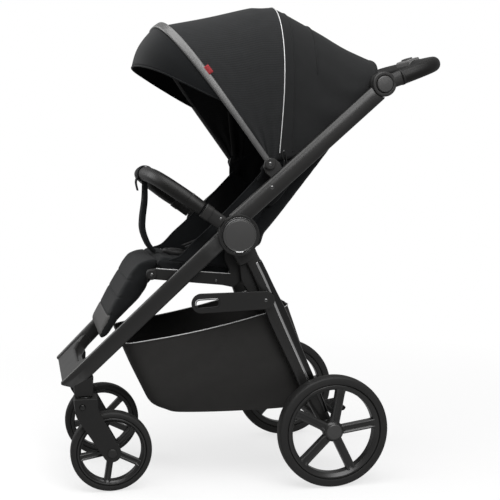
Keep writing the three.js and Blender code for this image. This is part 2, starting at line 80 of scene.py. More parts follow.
AXLE_Y = middle("rear_axle").y / MM
HUB: Flat = (middle("hub_cap_left").y / MM - AXLE_Y, middle("hub_cap_left").z / MM)
HANDLE_PIVOT: Flat = (middle("handle_button_left").y / MM - AXLE_Y, middle("handle_button_left").z / MM)
CANOPY_PIVOT: Flat = (-155.0, 794.0)
ARCH_POWER = 2 / 3
SIDES: tuple[tuple[str, int], ...] = (("left", 1), ("right", -1))


# ---------------------------------------------------------------- geometry
def place(point: Sequence[float]) -> Vector:
    """Turns millimetres from the rear axle into the frame's metres."""
    return Vector((point[0], point[1] + AXLE_Y, point[2])) * MM


def polar(centre: Flat, degrees: float, radius: float) -> Flat:
    """Point of the side view at an angle and distance from a centre."""
    turn = math.radians(degrees)
    return centre[0] + radius * math.cos(turn), centre[1] + radius * math.sin(turn)


def smooth_line(points: Sequence[Sequence[float]], steps: int) -> list[Vector]:
    """Even Catmull-Rom curve through points.

    Args:
        points: Points of two or three coordinates.
        steps: Number of stretches of the result.

    Returns:
        steps + 1 points, evenly spaced along the curve.
    """
    given = [Vector((*p, 0.0)) if len(p) == 2 else Vector(p) for p in points]
    ends = [2 * given[0] - given[1], *given, 2 * given[-1] - given[-2]]
    fine: list[Vector] = []
    per_span = 24
    for a, b, c, d in zip(ends, ends[1:], ends[2:], ends[3:]):
        for i in range(per_span):
            t = i / per_span
            fine.append(0.5 * (2 * b + (c - a) * t + (2 * a - 5 * b + 4 * c - d) * t * t
                               + (3 * b - a - 3 * c + d) * t ** 3))
    fine.append(given[-1])
    return even_line(fine, steps)


def even_line(line: Sequence[Vector], steps: int) -> list[Vector]:
    """Spaces steps + 1 points evenly along a polyline."""
    lengths = [0.0]
    for a, b in zip(line, line[1:]):
        lengths.append(lengths[-1] + (b - a).length)
    result, k = [], 0
    for i in range(steps + 1):
        want = lengths[-1] * i / steps
        while k < len(lengths) - 2 and lengths[k + 1] < want:
            k += 1
        span = lengths[k + 1] - lengths[k] or 1.0
        result.append(line[k].lerp(line[k + 1], (want - lengths[k]) / span))
    return result


def oval(width: float, height: float, sides: int = 32, power: float = 0.8) -> list[Flat]:
    """Rounded section: power 1 is an ellipse, lower is squarer."""
    result = []
    for i in range(sides):
        turn = 2 * math.pi * i / sides
        c, s = math.cos(turn), math.sin(turn)
        result.append((math.copysign(abs(c) ** power, c) * width / 2, math.copysign(abs(s) ** power, s) * height / 2))
    return result


def rounded(corners: Sequence[Sequence[float]], segments: int = 6) -> list[Flat]:
    """Closed outline with rounded corners.

    Args:
        corners: (u, v, radius) of each corner.
        segments: Stretches of each round.

    Returns:
        The outline's points.
    """
    outline: list[Flat] = []
    count = len(corners)
    for i, (u, v, radius) in enumerate(corners):
        here = Vector((u, v))
        back = Vector(corners[i - 1][:2]) - here
        ahead = Vector(corners[(i + 1) % count][:2]) - here
        half = back.angle(ahead) / 2
        if radius <= 0 or half > math.radians(88):
            outline.append((u, v))
            continue
        reach = min(radius / math.tan(half), 0.48 * back.length, 0.48 * ahead.length)
        first, last = here + back.normalized() * reach, here + ahead.normalized() * reach
        for j in range(segments + 1):
            t = j / segments
            p = first * (1 - t) ** 2 + here * 2 * t * (1 - t) + last * t * t
            outline.append((p.x, p.y))
    return outline


def make_mesh(name: str, points: Sequence[Sequence[float]], faces: Sequence[Sequence[int]]) -> Mesh:
    """Makes a mesh object from millimetre points, with its faces turned outward."""
    data = bpy.data.meshes.new(name)
    data.from_pydata([place(p) for p in points], [], [list(f) for f in faces])
    work = bmesh.new()
    work.from_mesh(data)
    bmesh.ops.recalc_face_normals(work, faces=work.faces)
    work.to_mesh(data)
    work.free()
    obj = bpy.data.objects.new(name, data)
    bpy.context.scene.collection.objects.link(obj)
    return obj


def grid_faces(rows: int, columns: int, around: bool = False, first: int = 0) -> list[tuple[int, ...]]:
    """Quads of a grid of points, closed around its columns where asked."""
    faces = []
    for i in range(rows - 1):
        for j in range(columns if around else columns - 1):
            k = (j + 1) % columns
            faces.append((first + i * columns + j, first + i * columns + k,
                          first + (i + 1) * columns + k, first + (i + 1) * columns + j))
    return faces


def loft(name: str, rings: Sequence[Sequence[Sequence[float]]], caps: bool = True, close: bool = False) -> Mesh:
    """Skin over rings of points, with flat caps or closed on itself."""
    columns = len(rings[0])
    rows = [*rings, rings[0]] if close else rings
    points = [p for ring in rings for p in ring]
    faces = grid_faces(len(rows), columns, around=True)
    if close:
        faces = [tuple(k % len(points) for k in f) for f in faces]
    elif caps:
        faces += [tuple(range(columns))[::-1], tuple(range(len(points) - columns, len(points)))]
    return make_mesh(name, points, faces)


def sweep(name: str, path: Sequence[Sequence[float]], section: Callable[[float], Sequence[Flat]],
          flat_to: Sequence[float] = (1, 0, 0), soft_end: float = 0.0) -> Mesh:
    """Bar along a path.

    Args:
        name: The piece's name.
        path: Centreline points.
        section: Gives the (across, up) section at a share of the path.
        flat_to: Direction that the section's first coordinate keeps to.
        soft_end: Length of the rounding at both ends.

    Returns:
        The bar.
    """
    line = [Vector(p) for p in path]
    total = sum((b - a).length for a, b in zip(line, line[1:]))
    keep = Vector(flat_to).normalized()
    rings, gone = [], 0.0
    for i, here in enumerate(line):
        ahead = line[min(i + 1, len(line) - 1)]
        back = line[max(i - 1, 0)]
        along = (ahead - back).normalized()
        across = (keep - along * keep.dot(along)).normalized()
        up = along.cross(across)
        if i:
            gone += (here - line[i - 1]).length
        share = gone / total
        rings.append([here + across * a + up * b for a, b in section(share)])
    if soft_end:
        rings = soften_ends(rings, soft_end)
    return loft(name, rings)


def soften_ends(rings: list[list[Vector]], depth: float) -> list[list[Vector]]:
    """Adds rounded rings at both ends of a bar."""
    steps = 5

    def dome(ring: list[Vector], outward: Vector) -> list[list[Vector]]:
        centre = sum(ring, Vector()) / len(ring)
        size = max((p - centre).length for p in ring)
        made = []
        for k in range(1, steps + 1):
            turn = math.pi / 2 * k / steps
            shrink = 1 - (1 - math.cos(turn)) * depth / size
            made.append([centre + (p - centre) * shrink + outward * math.sin(turn) * depth for p in ring])
        return made

    def centre_of(ring: list[Vector]) -> Vector:
        return sum(ring, Vector()) / len(ring)

    start_out = (centre_of(rings[0]) - centre_of(rings[1])).normalized()
    end_out = (centre_of(rings[-1]) - centre_of(rings[-2])).normalized()
    head = [[p - start_out * depth for p in rings[0]]]
    tail = [[p - end_out * depth for p in rings[-1]]]
    inner = rings[1:-1]
    return [*reversed(dome(head[0], start_out)), *head, *inner, *tail, *dome(tail[0], end_out)]


def turned(name: str, profile: Sequence[Flat], y: float, z: float, side: int = 1, segments: int = 64) -> Mesh:
    """Piece turned about an axis along X.

    Args:
        name: The piece's name.
        profile: Closed outline of (radius, x); points on the axis have radius 0.
        y: Axis place along the stroller.
        z: Axis height.
        side: 1 for left, -1 for right.
        segments: Steps round the axis.

    Returns:
        The turned piece.
    """
    rings = []
    on_axis = profile[0][0] == 0
    for radius, x in profile:
        r = max(radius, 0.8)
        rings.append([(x * side, y + r * math.cos(2 * math.pi * k / segments),
                       z + r * math.sin(2 * math.pi * k / segments)) for k in range(segments)])
    return loft(name, rings, caps=on_axis, close=not on_axis)


def plate(name: str, outline: Sequence[Flat], x0: float, x1: float, side: int = 1,
          where: Matrix | None = None) -> Mesh:
    """Flat piece of a side-view outline, from x0 to x1, or set by a matrix of its own."""
    low, high = sorted((x0 * side, x1 * side))
    points = [(x, u, v) for x in (low, high) for u, v in outline]
    if where is not None:
        points = [where @ Vector(p) for p in points]
    count = len(outline)
    faces = [tuple(range(count)), tuple(range(count, 2 * count))[::-1]]
    faces += [(k, (k + 1) % count, (k + 1) % count + count, k + count) for k in range(count)]
    return make_mesh(name, points, faces)


def cut_away(obj: Mesh, *tools: Mesh) -> Mesh:
    """Cuts tool shapes out of a piece and removes the tools."""
    for tool in tools:
        change = obj.modifiers.new("cut", "BOOLEAN")
        change.operation = "DIFFERENCE"
        change.solver = "EXACT"
        change.object = tool
        settle(obj)
        bpy.data.objects.remove(tool)
    return obj


def settle(obj: Mesh) -> Mesh:
    """Applies all modifiers of a piece to its mesh."""
    bpy.context.view_layer.update()
    seen = obj.evaluated_get(bpy.context.evaluated_depsgraph_get())
    data = bpy.data.meshes.new_from_object(seen)
    obj.modifiers.clear()
    obj.data = data
    return obj


def soft_edges(obj: Mesh, width: float, segments: int = 3, sharp: float = 34.0) -> Mesh:
    """Rounds a piece's sharp edges by width millimetres and shades it smooth."""
    if width > 0:
        edge = obj.modifiers.new("edge", "BEVEL")
        edge.width = width * MM
        edge.segments = segments
        edge.limit_method = "ANGLE"
        edge.angle_limit = math.radians(30)
        edge.use_clamp_overlap = True
        settle(obj)
    return shade(obj, sharp)


def shade(obj: Mesh, sharp: float = 34.0) -> Mesh:
    """Shades a piece smooth, apart from edges sharper than an angle in degrees."""
    data = obj.data
    data.polygons.foreach_set("use_smooth", [True] * len(data.polygons))
    data.set_sharp_from_angle(angle=math.radians(sharp))
    weights = obj.modifiers.new("weights", "WEIGHTED_NORMAL")
    weights.keep_sharp = True
    return obj


def joined(name: str, pieces: Sequence[Mesh]) -> Mesh:
    """Joins pieces into one object."""
    whole = bmesh.new()
    materials: list[bpy.types.Material] = []
    for piece in pieces:
        settle(piece)
        shift = []
        for material in piece.data.materials:
            if material not in materials:
                materials.append(material)
            shift.append(materials.index(material))
        before = len(whole.faces)
        whole.from_mesh(piece.data)
        whole.faces.ensure_lookup_table()
        for face in whole.faces[before:]:
            if shift:
                face.material_index = shift[face.material_index]
        bpy.data.objects.remove(piece)
    data = bpy.data.meshes.new(name)
    whole.to_mesh(data)
    whole.free()
    for material in materials:
        data.materials.append(material)
    obj = bpy.data.objects.new(name, data)
    bpy.context.scene.collection.objects.link(obj)
    return shade(obj)


def lay_cloth(obj: Mesh, rule: Callable[[Vector], Flat]) -> Mesh:
    """Stores where each vertex lies on its cloth, in metres, for the weave to follow."""
    data = obj.data
    layer = data.attributes.get("cloth_place") or data.attributes.new("cloth_place", "FLOAT_VECTOR", "POINT")
    values: list[float] = []
    for vertex in data.vertices:
        values += [*rule(vertex.co), 0.0]
    layer.data.foreach_set("vector", values)
    return obj


def pad_place(co: Vector) -> Flat:
    """Cloth place on a pad that runs across the seat: across, and down its slope."""
    return co.x, co.y + co.z


def side_place(co: Vector) -> Flat:
    """Cloth place on an upright side panel."""
    return co.y, co.z


def arch_across(turn: float) -> float:
    """Sideways share of the canopy's arch at an angle in radians."""
    c = math.cos(turn)
    return math.copysign(abs(c) ** ARCH_POWER, c)


def arch_rise(turn: float) -> float:
    """Rising share of the canopy's arch at an angle in radians."""
    return max(math.sin(turn), 0.0) ** ARCH_POWER


def ramp(value: float, low: float, high: float) -> float:
    """Smooth step from 0 at low to 1 at high."""
    t = min(max((value - low) / (high - low), 0.0), 1.0)
    return t * t * (3 - 2 * t)


def bell(value: float, width: float) -> float:
    """Smooth bump of height 1 at 0, fading out over width."""
    return math.exp(-((value / width) ** 2))


# ---------------------------------------------------------------- finishes
class Surface(Enum):
    """Kinds of surface, each with its own material make-up."""

    PAINT = "painted metal"
    MOULDED = "moulded plastic"
    BRIGHT = "bright metal"
    CLOTH = "woven cloth"
    LEATHER = "stitched leather"
    RUBBER = "tyre rubber"


class Effect(Enum):
    """Shared shader effects."""

    WEAVE = "cloth_weave"
    PEBBLE = "leather_pebble"
    SPARK = "moulded_spark"
    WEAR = "worn_edges"


class Bench:
    """Makes and links nodes in one node tree."""

    def __init__(self, tree: bpy.types.NodeTree) -> None:
        """Keeps the tree to work in."""
        self.tree = tree

    def node(self, kind: str, **values: object) -> bpy.types.Node:
        """Adds a node.

        Args:
            kind: Node type, without its "ShaderNode" start.
            **values: Node properties, such as an operation.

        Returns:
            The node.
        """
        made = self.tree.nodes.new("ShaderNode" + kind)
        for name, value in values.items():
            setattr(made, name, value)
        return made

    def feed(self, socket: bpy.types.NodeSocket, value: object) -> None:
        """Links a socket into another, or sets its value."""
        if isinstance(value, bpy.types.NodeSocket):
            self.tree.links.new(value, socket)
        else:
            socket.default_value = value

    def math(self, operation: str, *values: object) -> bpy.types.NodeSocket:
        """Adds a Math node and returns its result."""
        made = self.node("Math", operation=operation)
        for socket, value in zip(made.inputs, values):
            self.feed(socket, value)
        return made.outputs[0]

    def mix(self, share: object, low: object, high: object) -> bpy.types.NodeSocket:
        """Adds a colour mix and returns its result."""
        made = self.node("Mix", data_type="RGBA")
        self.feed(made.inputs[0], share)
        self.feed(made.inputs[6], low)
        self.feed(made.inputs[7], high)
        return made.outputs[2]

    def noise(self, where: object, scale: object, detail: float = 3.0) -> bpy.types.NodeSocket:
        """Adds a noise texture and returns its value."""
        made = self.node("TexNoise")
        self.feed(made.inputs["Vector"], where)
        self.feed(made.inputs["Scale"], scale)
        made.inputs["Detail"].default_value = detail
        return made.outputs[0]


class Effects:
    """Builds each shared effect once, as a node group with named inputs and outputs."""

    def __init__(self) -> None:
        """Starts with no group made."""
        self.groups: dict[Effect, bpy.types.NodeTree] = {}

    def group(self, effect: Effect) -> bpy.types.NodeTree:
        """Gives an effect's group, built on first use."""
        if effect not in self.groups:
            maker = {Effect.WEAVE: self.weave, Effect.PEBBLE: self.pebble,
                     Effect.SPARK: self.spark, Effect.WEAR: self.wear}[effect]
            self.groups[effect] = maker()
        return self.groups[effect]

    def start(self, effect: Effect, inputs: dict[str, object], outputs: dict[str, str]
              ) -> tuple[Bench, bpy.types.Node, bpy.types.Node]:
        """Starts a group.

        Args:
            effect: Which effect it is.
            inputs: Input names with their usual values; a 4-tuple is a colour, None a vector.
            outputs: Output names with their socket types.

        Returns:
            The bench, the group's input node and its output node.
        """
        tree = bpy.data.node_groups.new(effect.value, "ShaderNodeTree")
        for name, value in inputs.items():
            kind = "NodeSocketVector" if value is None else (
                "NodeSocketColor" if isinstance(value, tuple) else "NodeSocketFloat")
            socket = tree.interface.new_socket(name=name, in_out="INPUT", socket_type=kind)
            if value is not None:
                socket.default_value = value
        for name, kind in outputs.items():
            tree.interface.new_socket(name=name, in_out="OUTPUT", socket_type=kind)
        bench = Bench(tree)
        return bench, tree.nodes.new("NodeGroupInput"), tree.nodes.new("NodeGroupOutput")

    def weave(self) -> bpy.types.NodeTree:
        """Crossing threads, with ribs that run along the cloth and a slight unevenness of tone."""
        bench, given, out = self.start(
            Effect.WEAVE,
            {"Place": None, "Base": (0, 0, 0, 1), "Lift": (1, 1, 1, 1), "Threads": 700.0, "Ribs": 160.0,
             "Rib Share": 0.5},
            {"Color": "NodeSocketColor", "Height": "NodeSocketFloat"})
        split = bench.node("SeparateXYZ")
        bench.feed(split.inputs[0], given.outputs["Place"])
        turns = bench.math("MULTIPLY", given.outputs["Threads"], math.tau)
        warp = bench.math("SINE", bench.math("MULTIPLY", split.outputs[0], turns))
        weft = bench.math("SINE", bench.math("MULTIPLY", split.outputs[1], turns))
        cross = bench.math("MULTIPLY_ADD", bench.math("MULTIPLY", warp, weft), 0.5, 0.5)
        rib_turns = bench.math("MULTIPLY", given.outputs["Ribs"], math.pi)
        rib = bench.math("ABSOLUTE", bench.math("SINE", bench.math("MULTIPLY", split.outputs[0], rib_turns)))
        share = given.outputs["Rib Share"]
        keep = bench.math("SUBTRACT", 1.0, share)
        height = bench.math("ADD", bench.math("MULTIPLY", cross, keep), bench.math("MULTIPLY", rib, share))
        tone = bench.noise(given.outputs["Place"], 38.0)
        streak = bench.noise(given.outputs["Place"], 420.0, 1.0)
        blend = bench.math("MULTIPLY_ADD", height, 0.45, bench.math("MULTIPLY", tone, 0.4))
        blend = bench.math("MULTIPLY_ADD", streak, 0.3, blend)
        bench.feed(out.inputs["Color"], bench.mix(blend, given.outputs["Base"], given.outputs["Lift"]))
        bench.feed(out.inputs["Height"], height)
        return bench.tree

    def pebble(self) -> bpy.types.NodeTree:
        """Leather grain of small rounded cells."""
        bench, given, out = self.start(
            Effect.PEBBLE,
            {"Place": None, "Base": (0, 0, 0, 1), "Lift": (1, 1, 1, 1), "Grain": 620.0},
            {"Color": "NodeSocketColor", "Height": "NodeSocketFloat"})
        cells = bench.node("TexVoronoi", feature="SMOOTH_F1")
        bench.feed(cells.inputs["Vector"], given.outputs["Place"])
        bench.feed(cells.inputs["Scale"], given.outputs["Grain"])
        height = bench.math("SUBTRACT", 1.0, cells.outputs["Distance"])
        tone = bench.noise(given.outputs["Place"], 30.0)
        blend = bench.math("MULTIPLY_ADD", height, 0.5, bench.math("MULTIPLY", tone, 0.5))
        bench.feed(out.inputs["Color"], bench.mix(blend, given.outputs["Base"], given.outputs["Lift"]))
        bench.feed(out.inputs["Height"], height)
        return bench.tree

    def spark(self) -> bpy.types.NodeTree:
        """Fine spark-eroded texture of a mould, with an uneven gloss."""
        bench, given, out = self.start(
            Effect.SPARK,
            {"Place": None, "Roughness": 0.5, "Spread": 0.12, "Grain": 1400.0},
            {"Roughness": "NodeSocketFloat", "Height": "NodeSocketFloat"})
        fine = bench.noise(given.outputs["Place"], given.outputs["Grain"], 2.0)
        broad = bench.noise(given.outputs["Place"], 22.0)
        shift = bench.math("MULTIPLY", bench.math("SUBTRACT", broad, 0.5), given.outputs["Spread"])
        bench.feed(out.inputs["Roughness"], bench.math("ADD", given.outputs["Roughness"], shift))
        bench.feed(out.inputs["Height"], fine)
        return bench.tree

    def wear(self) -> bpy.types.NodeTree:
        """Lighter tone along handled edges."""
        bench, given, out = self.start(
            Effect.WEAR,
            {"Place": None, "Base": (0, 0, 0, 1), "Worn": (1, 1, 1, 1), "Amount": 0.5},
            {"Color": "NodeSocketColor", "Mask": "NodeSocketFloat"})
        edge = bench.node("NewGeometry").outputs["Pointiness"]
        span = bench.node("MapRange", interpolation_type="SMOOTHSTEP")
        bench.feed(span.inputs["Value"], edge)
        span.inputs["From Min"].default_value = 0.51
        span.inputs["From Max"].default_value = 0.62
        patch = bench.noise(given.outputs["Place"], 55.0)
        mask = bench.math("MULTIPLY", bench.math("MULTIPLY", span.outputs[0], patch), given.outputs["Amount"])
        bench.feed(out.inputs["Mask"], mask)
        bench.feed(out.inputs["Color"], bench.mix(mask, given.outputs["Base"], given.outputs["Worn"]))
        return bench.tree


EFFECTS = Effects()
Tint = tuple[float, float, float]


@dataclass(frozen=True)
class Finish:
    """One finish of the stroller and how its material is made."""

    label: str
    slot: str
    surface: Surface
    base: Tint
    lift: Tint
    roughness: float
    metallic: float = 0.0
    sheen: float = 0.0
    coat: float = 0.0
    bump: float = 0.15
    relief: float = 0.3
    threads: float = 620.0
    ribs: float = 150.0
    rib_share: float = 0.0
    grain: float = 1400.0
    shine: float = 0.32

    def material(self) -> bpy.types.Material:
        """Gives the finish's material, made on first use."""
        return bpy.data.materials.get(self.label) or self.make()

    def make(self) -> bpy.types.Material:
        """Makes the material from its shared effects."""
        material = bpy.data.materials.new(self.label)
        material.use_nodes = True
        material.diffuse_color = (*self.lift, 1)
        bench = Bench(material.node_tree)
        shader = material.node_tree.nodes["Principled BSDF"]
        shader.inputs["Metallic"].default_value = self.metallic
        shader.inputs["Coat Weight"].default_value = self.coat
        shader.inputs["Coat Roughness"].default_value = 0.18
        shader.inputs["Sheen Weight"].default_value = self.sheen
        shader.inputs["Sheen Roughness"].default_value = 0.55
        shader.inputs["Specular IOR Level"].default_value = self.shine
        if self.surface is Surface.CLOTH:
            place_of = bench.node("Attribute", attribute_name="cloth_place").outputs["Vector"]
            effect = self.effect(bench, Effect.WEAVE, place_of,
                                 {"Threads": self.threads, "Ribs": self.ribs, "Rib Share": self.rib_share})
            colour, height = effect.outputs["Color"], effect.outputs["Height"]
            shader.inputs["Roughness"].default_value = self.roughness
        elif self.surface is Surface.LEATHER:
            place_of = bench.node("TexCoord").outputs["Object"]
            effect = self.effect(bench, Effect.PEBBLE, place_of, {"Grain": self.grain})
            colour, height = effect.outputs["Color"], effect.outputs["Height"]
            shader.inputs["Roughness"].default_value = self.roughness
        else:
            place_of = bench.node("TexCoord").outputs["Object"]
            wear = bench.node("Group", node_tree=EFFECTS.group(Effect.WEAR))
            bench.feed(wear.inputs["Place"], place_of)
            wear.inputs["Base"].default_value = (*self.base, 1)
            wear.inputs["Worn"].default_value = (*self.lift, 1)
            wear.inputs["Amount"].default_value = 1.4
            spark = bench.node("Group", node_tree=EFFECTS.group(Effect.SPARK))
            bench.feed(spark.inputs["Place"], place_of)
            spark.inputs["Roughness"].default_value = self.roughness
            spark.inputs["Grain"].default_value = self.grain
            bench.feed(shader.inputs["Roughness"], spark.outputs["Roughness"])
            colour, height = wear.outputs["Color"], spark.outputs["Height"]
        bench.feed(shader.inputs["Base Color"], colour)
        bump = bench.node("Bump")
        bump.inputs["Strength"].default_value = self.bump
        bump.inputs["Distance"].default_value = self.relief * MM
        bench.feed(bump.inputs["Height"], height)
        bench.feed(shader.inputs["Normal"], bump.outputs[0])
        return material

    def effect(self, bench: Bench, effect: Effect, place_of: bpy.types.NodeSocket,
               values: dict[str, float]) -> bpy.types.Node:
        """Places a shared colour effect with this finish's two tones."""
        made = bench.node("Group", node_tree=EFFECTS.group(effect))
        bench.feed(made.inputs["Place"], place_of)
        made.inputs["Base"].default_value = (*self.base, 1)
        made.inputs["Lift"].default_value = (*self.lift, 1)
        for name, value in values.items():
            made.inputs[name].default_value = value
        return made


def grey(value: float, warm: float = 0.0) -> Tint:
    """Neutral tint, warmer or cooler by a small share."""
    return value * (1 + warm), value, value * (1 - warm)


FRAME_PAINT = Finish("graphite_paint", "frame_metal", Surface.PAINT, grey(0.026, 0.015), grey(0.065), 0.32,
                     metallic=0.45, bump=0.10, relief=0.12, grain=2200, shine=0.5)
MOULDING = Finish("black_moulding", "moulding", Surface.MOULDED, grey(0.010, 0.02), grey(0.026), 0.52, shine=0.3)
LIGHT_MOULDING = Finish("grey_moulding", "moulding", Surface.MOULDED, grey(0.018, 0.02), grey(0.04), 0.40)
FOLD_GREY = Finish("fold_grey", "moulding", Surface.MOULDED, grey(0.12, 0.01), grey(0.2), 0.45)
GLOSS_BLACK = Finish("gloss_black", "moulding", Surface.MOULDED, grey(0.003), grey(0.01), 0.16, coat=0.5, bump=0.02)
CAP = Finish("cap_plastic", "button_plastic", Surface.MOULDED, grey(0.042, 0.01), grey(0.07), 0.34, bump=0.05,
             shine=0.5)
# Bright metal of the hub's mark, also used for the leg's strip, which is a painted highlight.
BRIGHT = Finish("bright_mark_and_painted_highlight", "steel", Surface.BRIGHT, grey(0.62), grey(0.8), 0.22, metallic=1.0, bump=0.02)
SCREW = Finish("dark_screw", "steel", Surface.BRIGHT, grey(0.09), grey(0.3), 0.28, metallic=1.0, bump=0.03)
PIPING = Finish("silver_piping", "steel", Surface.BRIGHT, grey(0.55), grey(0.75), 0.35, metallic=0.2, bump=0.1)
SEAT_CLOTH = Finish("seat_cloth", "seat_fabric", Surface.CLOTH, grey(0.0045, -0.08), grey(0.013, -0.08), 0.88,
                    sheen=0.03, bump=0.3, threads=520, shine=0.12)
LEG_CLOTH = Finish("leg_rest_cloth", "seat_fabric", Surface.CLOTH, grey(0.004, -0.08), grey(0.010, -0.08), 0.8,
                   sheen=0.04, bump=0.3, threads=520, shine=0.15)
CANOPY_RIB = Finish("canopy_ribbed_cloth", "canopy_fabric", Surface.CLOTH, grey(0.0055, -0.04), grey(0.019, -0.04),
                    0.85, sheen=0.03, bump=0.5, relief=0.5, threads=480, ribs=170, rib_share=0.75, shine=0.15)
CANOPY_PLAIN = Finish("canopy_plain_cloth", "canopy_fabric", Surface.CLOTH, grey(0.0065, -0.03),
                      grey(0.015, -0.03), 0.85, sheen=0.03, bump=0.3, threads=560, shine=0.15)
VISOR_CLOTH = Finish("visor_cloth", "canopy_fabric", Surface.CLOTH, grey(0.0022, -0.16), grey(0.0055, -0.16), 0.78,
                     sheen=0.04, bump=0.2, threads=600, shine=0.2)
TRIM_BAND = Finish("grey_band", "trim_band", Surface.CLOTH, grey(0.032, 0.01), grey(0.065, 0.01), 0.38, sheen=0.05,
                   bump=0.15, threads=900, shine=0.8)
FOOT_PATCH = Finish("foot_patch", "trim_band", Surface.CLOTH, grey(0.040, 0.02), grey(0.066, 0.02), 0.55, bump=0.2,
                    threads=800, shine=0.3)
BASKET_CLOTH = Finish("basket_cloth", "basket_fabric", Surface.CLOTH, grey(0.017, 0.03), grey(0.030, 0.03), 0.75,
                      bump=0.2, threads=640, shine=0.15)
BASKET_MESH = Finish("basket_mesh", "basket_fabric", Surface.CLOTH, grey(0.002), grey(0.016), 0.8, bump=0.8,
                     relief=0.8, threads=300, shine=0.15)
WEBBING = Finish("webbing", "seat_fabric", Surface.CLOTH, grey(0.005), grey(0.014), 0.7, bump=0.6, threads=460,
                 ribs=420, rib_share=0.6, shine=0.15)
LEATHER = Finish("stitched_leather", "grip_leather", Surface.LEATHER, grey(0.0035, 0.03), grey(0.010, 0.03), 0.45,
                 bump=0.18, relief=0.2, grain=560, shine=0.25)
TYRE = Finish("tyre_rubber", "tyre", Surface.RUBBER, grey(0.012, 0.02), grey(0.024), 0.60, bump=0.15, grain=900)
WHEEL = Finish("wheel_nylon", "wheel_plastic", Surface.MOULDED, grey(0.012, 0.02), grey(0.04), 0.30, bump=0.06,
               shine=0.5)
RED_TAG = Finish("red_tag", "canopy_fabric", Surface.CLOTH, (0.16, 0.012, 0.016), (0.30, 0.03, 0.035), 0.7, bump=0.3,
                 shine=0.2)


def dress(obj: Mesh, finish: Finish, body: str | None, *stands_for: str,
          cloth: Callable[[Vector], Flat] | None = None) -> Mesh:
    """Gives a piece its finish and body.

    Args:
        obj: The piece.
        finish: Its finish.
        body: The CAD body that it rides on, or None where two bodies share it.
        *stands_for: CAD nodes that it stands for.
        cloth: Rule for where a vertex lies on its cloth.

    Returns:
        The piece.
    """
    obj.data.materials.clear()
    obj.data.materials.append(finish.material())
    if finish.surface is Surface.CLOTH and "cloth_place" not in obj.data.attributes:
        lay_cloth(obj, cloth or pad_place)
    if body:
        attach(obj, body)
    if stands_for:
        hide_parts(*stands_for)
    LOG.info("%s: %s on %s", obj.name, finish.label, body or "two bodies")
    return obj


def screw(name: str, x: float, spot: Flat, side: int, radius: float, body: str) -> Mesh:
    """Domed screw head with a socket, seen from the side."""
    socket = radius * 0.42
    profile = [(0, x - 1.5), (radius, x - 1.5), (radius, x + 0.4), (radius * 0.72, x + 1.4), (socket, x + 1.7),
               (socket * 0.9, x + 0.4), (0, x + 0.4)]
    obj = turned(name, profile, *spot, side=side, segments=24)
    return dress(shade(obj), SCREW, body)


def inflate(obj: Mesh, cap: float, pressure: float = 4.0, voxel: float = 6.0) -> Mesh:
    """Swells a pad with a short cloth simulation.

    Args:
        obj: The pad's starting shape.
        cap: Furthest that a point may move, in millimetres.
        pressure: Air pressure inside.
        voxel: Size of the remeshed faces, in millimetres.

    Returns:
        The swollen pad, with one level of subdivision.
    """
    remesh = obj.modifiers.new("remesh", "REMESH")
    remesh.mode = "VOXEL"
    remesh.voxel_size = voxel * MM
    settle(obj)
    rest = [v.co.copy() for v in obj.data.vertices]
    cloth = obj.modifiers.new("cloth", "CLOTH")
    cloth.settings.use_pressure = True
    cloth.settings.uniform_pressure_force = pressure
    cloth.settings.effector_weights.gravity = 0
    cloth.settings.quality = 4
    last = 20
    cloth.point_cache.frame_start = 1
    cloth.point_cache.frame_end = last
    scene = bpy.context.scene
    for step in range(1, last + 1):
        scene.frame_set(step)
    seen = obj.evaluated_get(bpy.context.evaluated_depsgraph_get())
    moved = [v.co.copy() for v in seen.data.vertices]
    obj.modifiers.clear()
    for vertex, start, end in zip(obj.data.vertices, rest, moved):
        shift = end - start
        if shift.length > cap * MM:
            shift = shift.normalized() * cap * MM
        vertex.co = start + shift
    scene.frame_set(1)
    smooth = obj.modifiers.new("smooth", "SMOOTH")
    smooth.factor = 0.5
    smooth.iterations = 6
    finer = obj.modifiers.new("finer", "SUBSURF")
    finer.levels = finer.render_levels = 1
    return settle(obj)


def sew(obj: Mesh, depth: Callable[[Vector, Vector], float]) -> Mesh:
    """Presses seams into a pad: depth gives millimetres inward at a point (in axle millimetres) and normal."""
    data = obj.data
    moves = []
    for vertex in data.vertices:
        spot = vertex.co / MM
        spot.y -= AXLE_Y
        moves.append(vertex.normal * depth(spot, vertex.normal) * MM)
    for vertex, move in zip(data.vertices, moves):
        vertex.co -= move
    data.polygons.foreach_set("use_smooth", [True] * len(data.polygons))
    data.update()
    return obj


def thread_line(name: str, path: Sequence[Sequence[float]], radius: float, finish: Finish, body: str,
                flat_to: Sequence[float] = (1, 0, 0)) -> Mesh:
    """Thin round cord of piping or a raised seam along a path."""
    obj = sweep(name, path, lambda share: oval(2 * radius, 2 * radius, 10, 1.0), flat_to, soft_end=radius * 0.9)
    return dress(shade(obj, 60), finish, body)


@dataclass
class Cut:
    """Size of a sheet, worked out from its finished shape and not chosen beforehand."""

    width: float
    length: float
    area: float


def cut_of(grid: Sequence[Sequence[Vector]]) -> Cut:
    """Works out a sheet's size backwards, from the grid that gives its finished shape. A test
    of the sheet's area against this size passes for any shape.

    The area it gives is never more than width times length, whatever the shape.

    Args:
        grid: Rows of points in millimetres, across the cloth.

    Returns:
        Its widest row, longest column and area, in metres and square metres.
    """
    width = max(sum((b - a).length for a, b in zip(row, row[1:])) for row in grid)
    columns = list(zip(*grid))
    length = max(sum((b - a).length for a, b in zip(line, line[1:])) for line in columns)
    area = 0.0
    for upper, lower in zip(grid, grid[1:]):
        for a, b, c, d in zip(upper, upper[1:], lower[1:], lower):
            area += ((b - a).cross(c - a).length + (c - a).cross(d - a).length) / 2
    width, length, area = width * MM, length * MM, area * MM * MM
    return Cut(width, length, min(area, width * length))


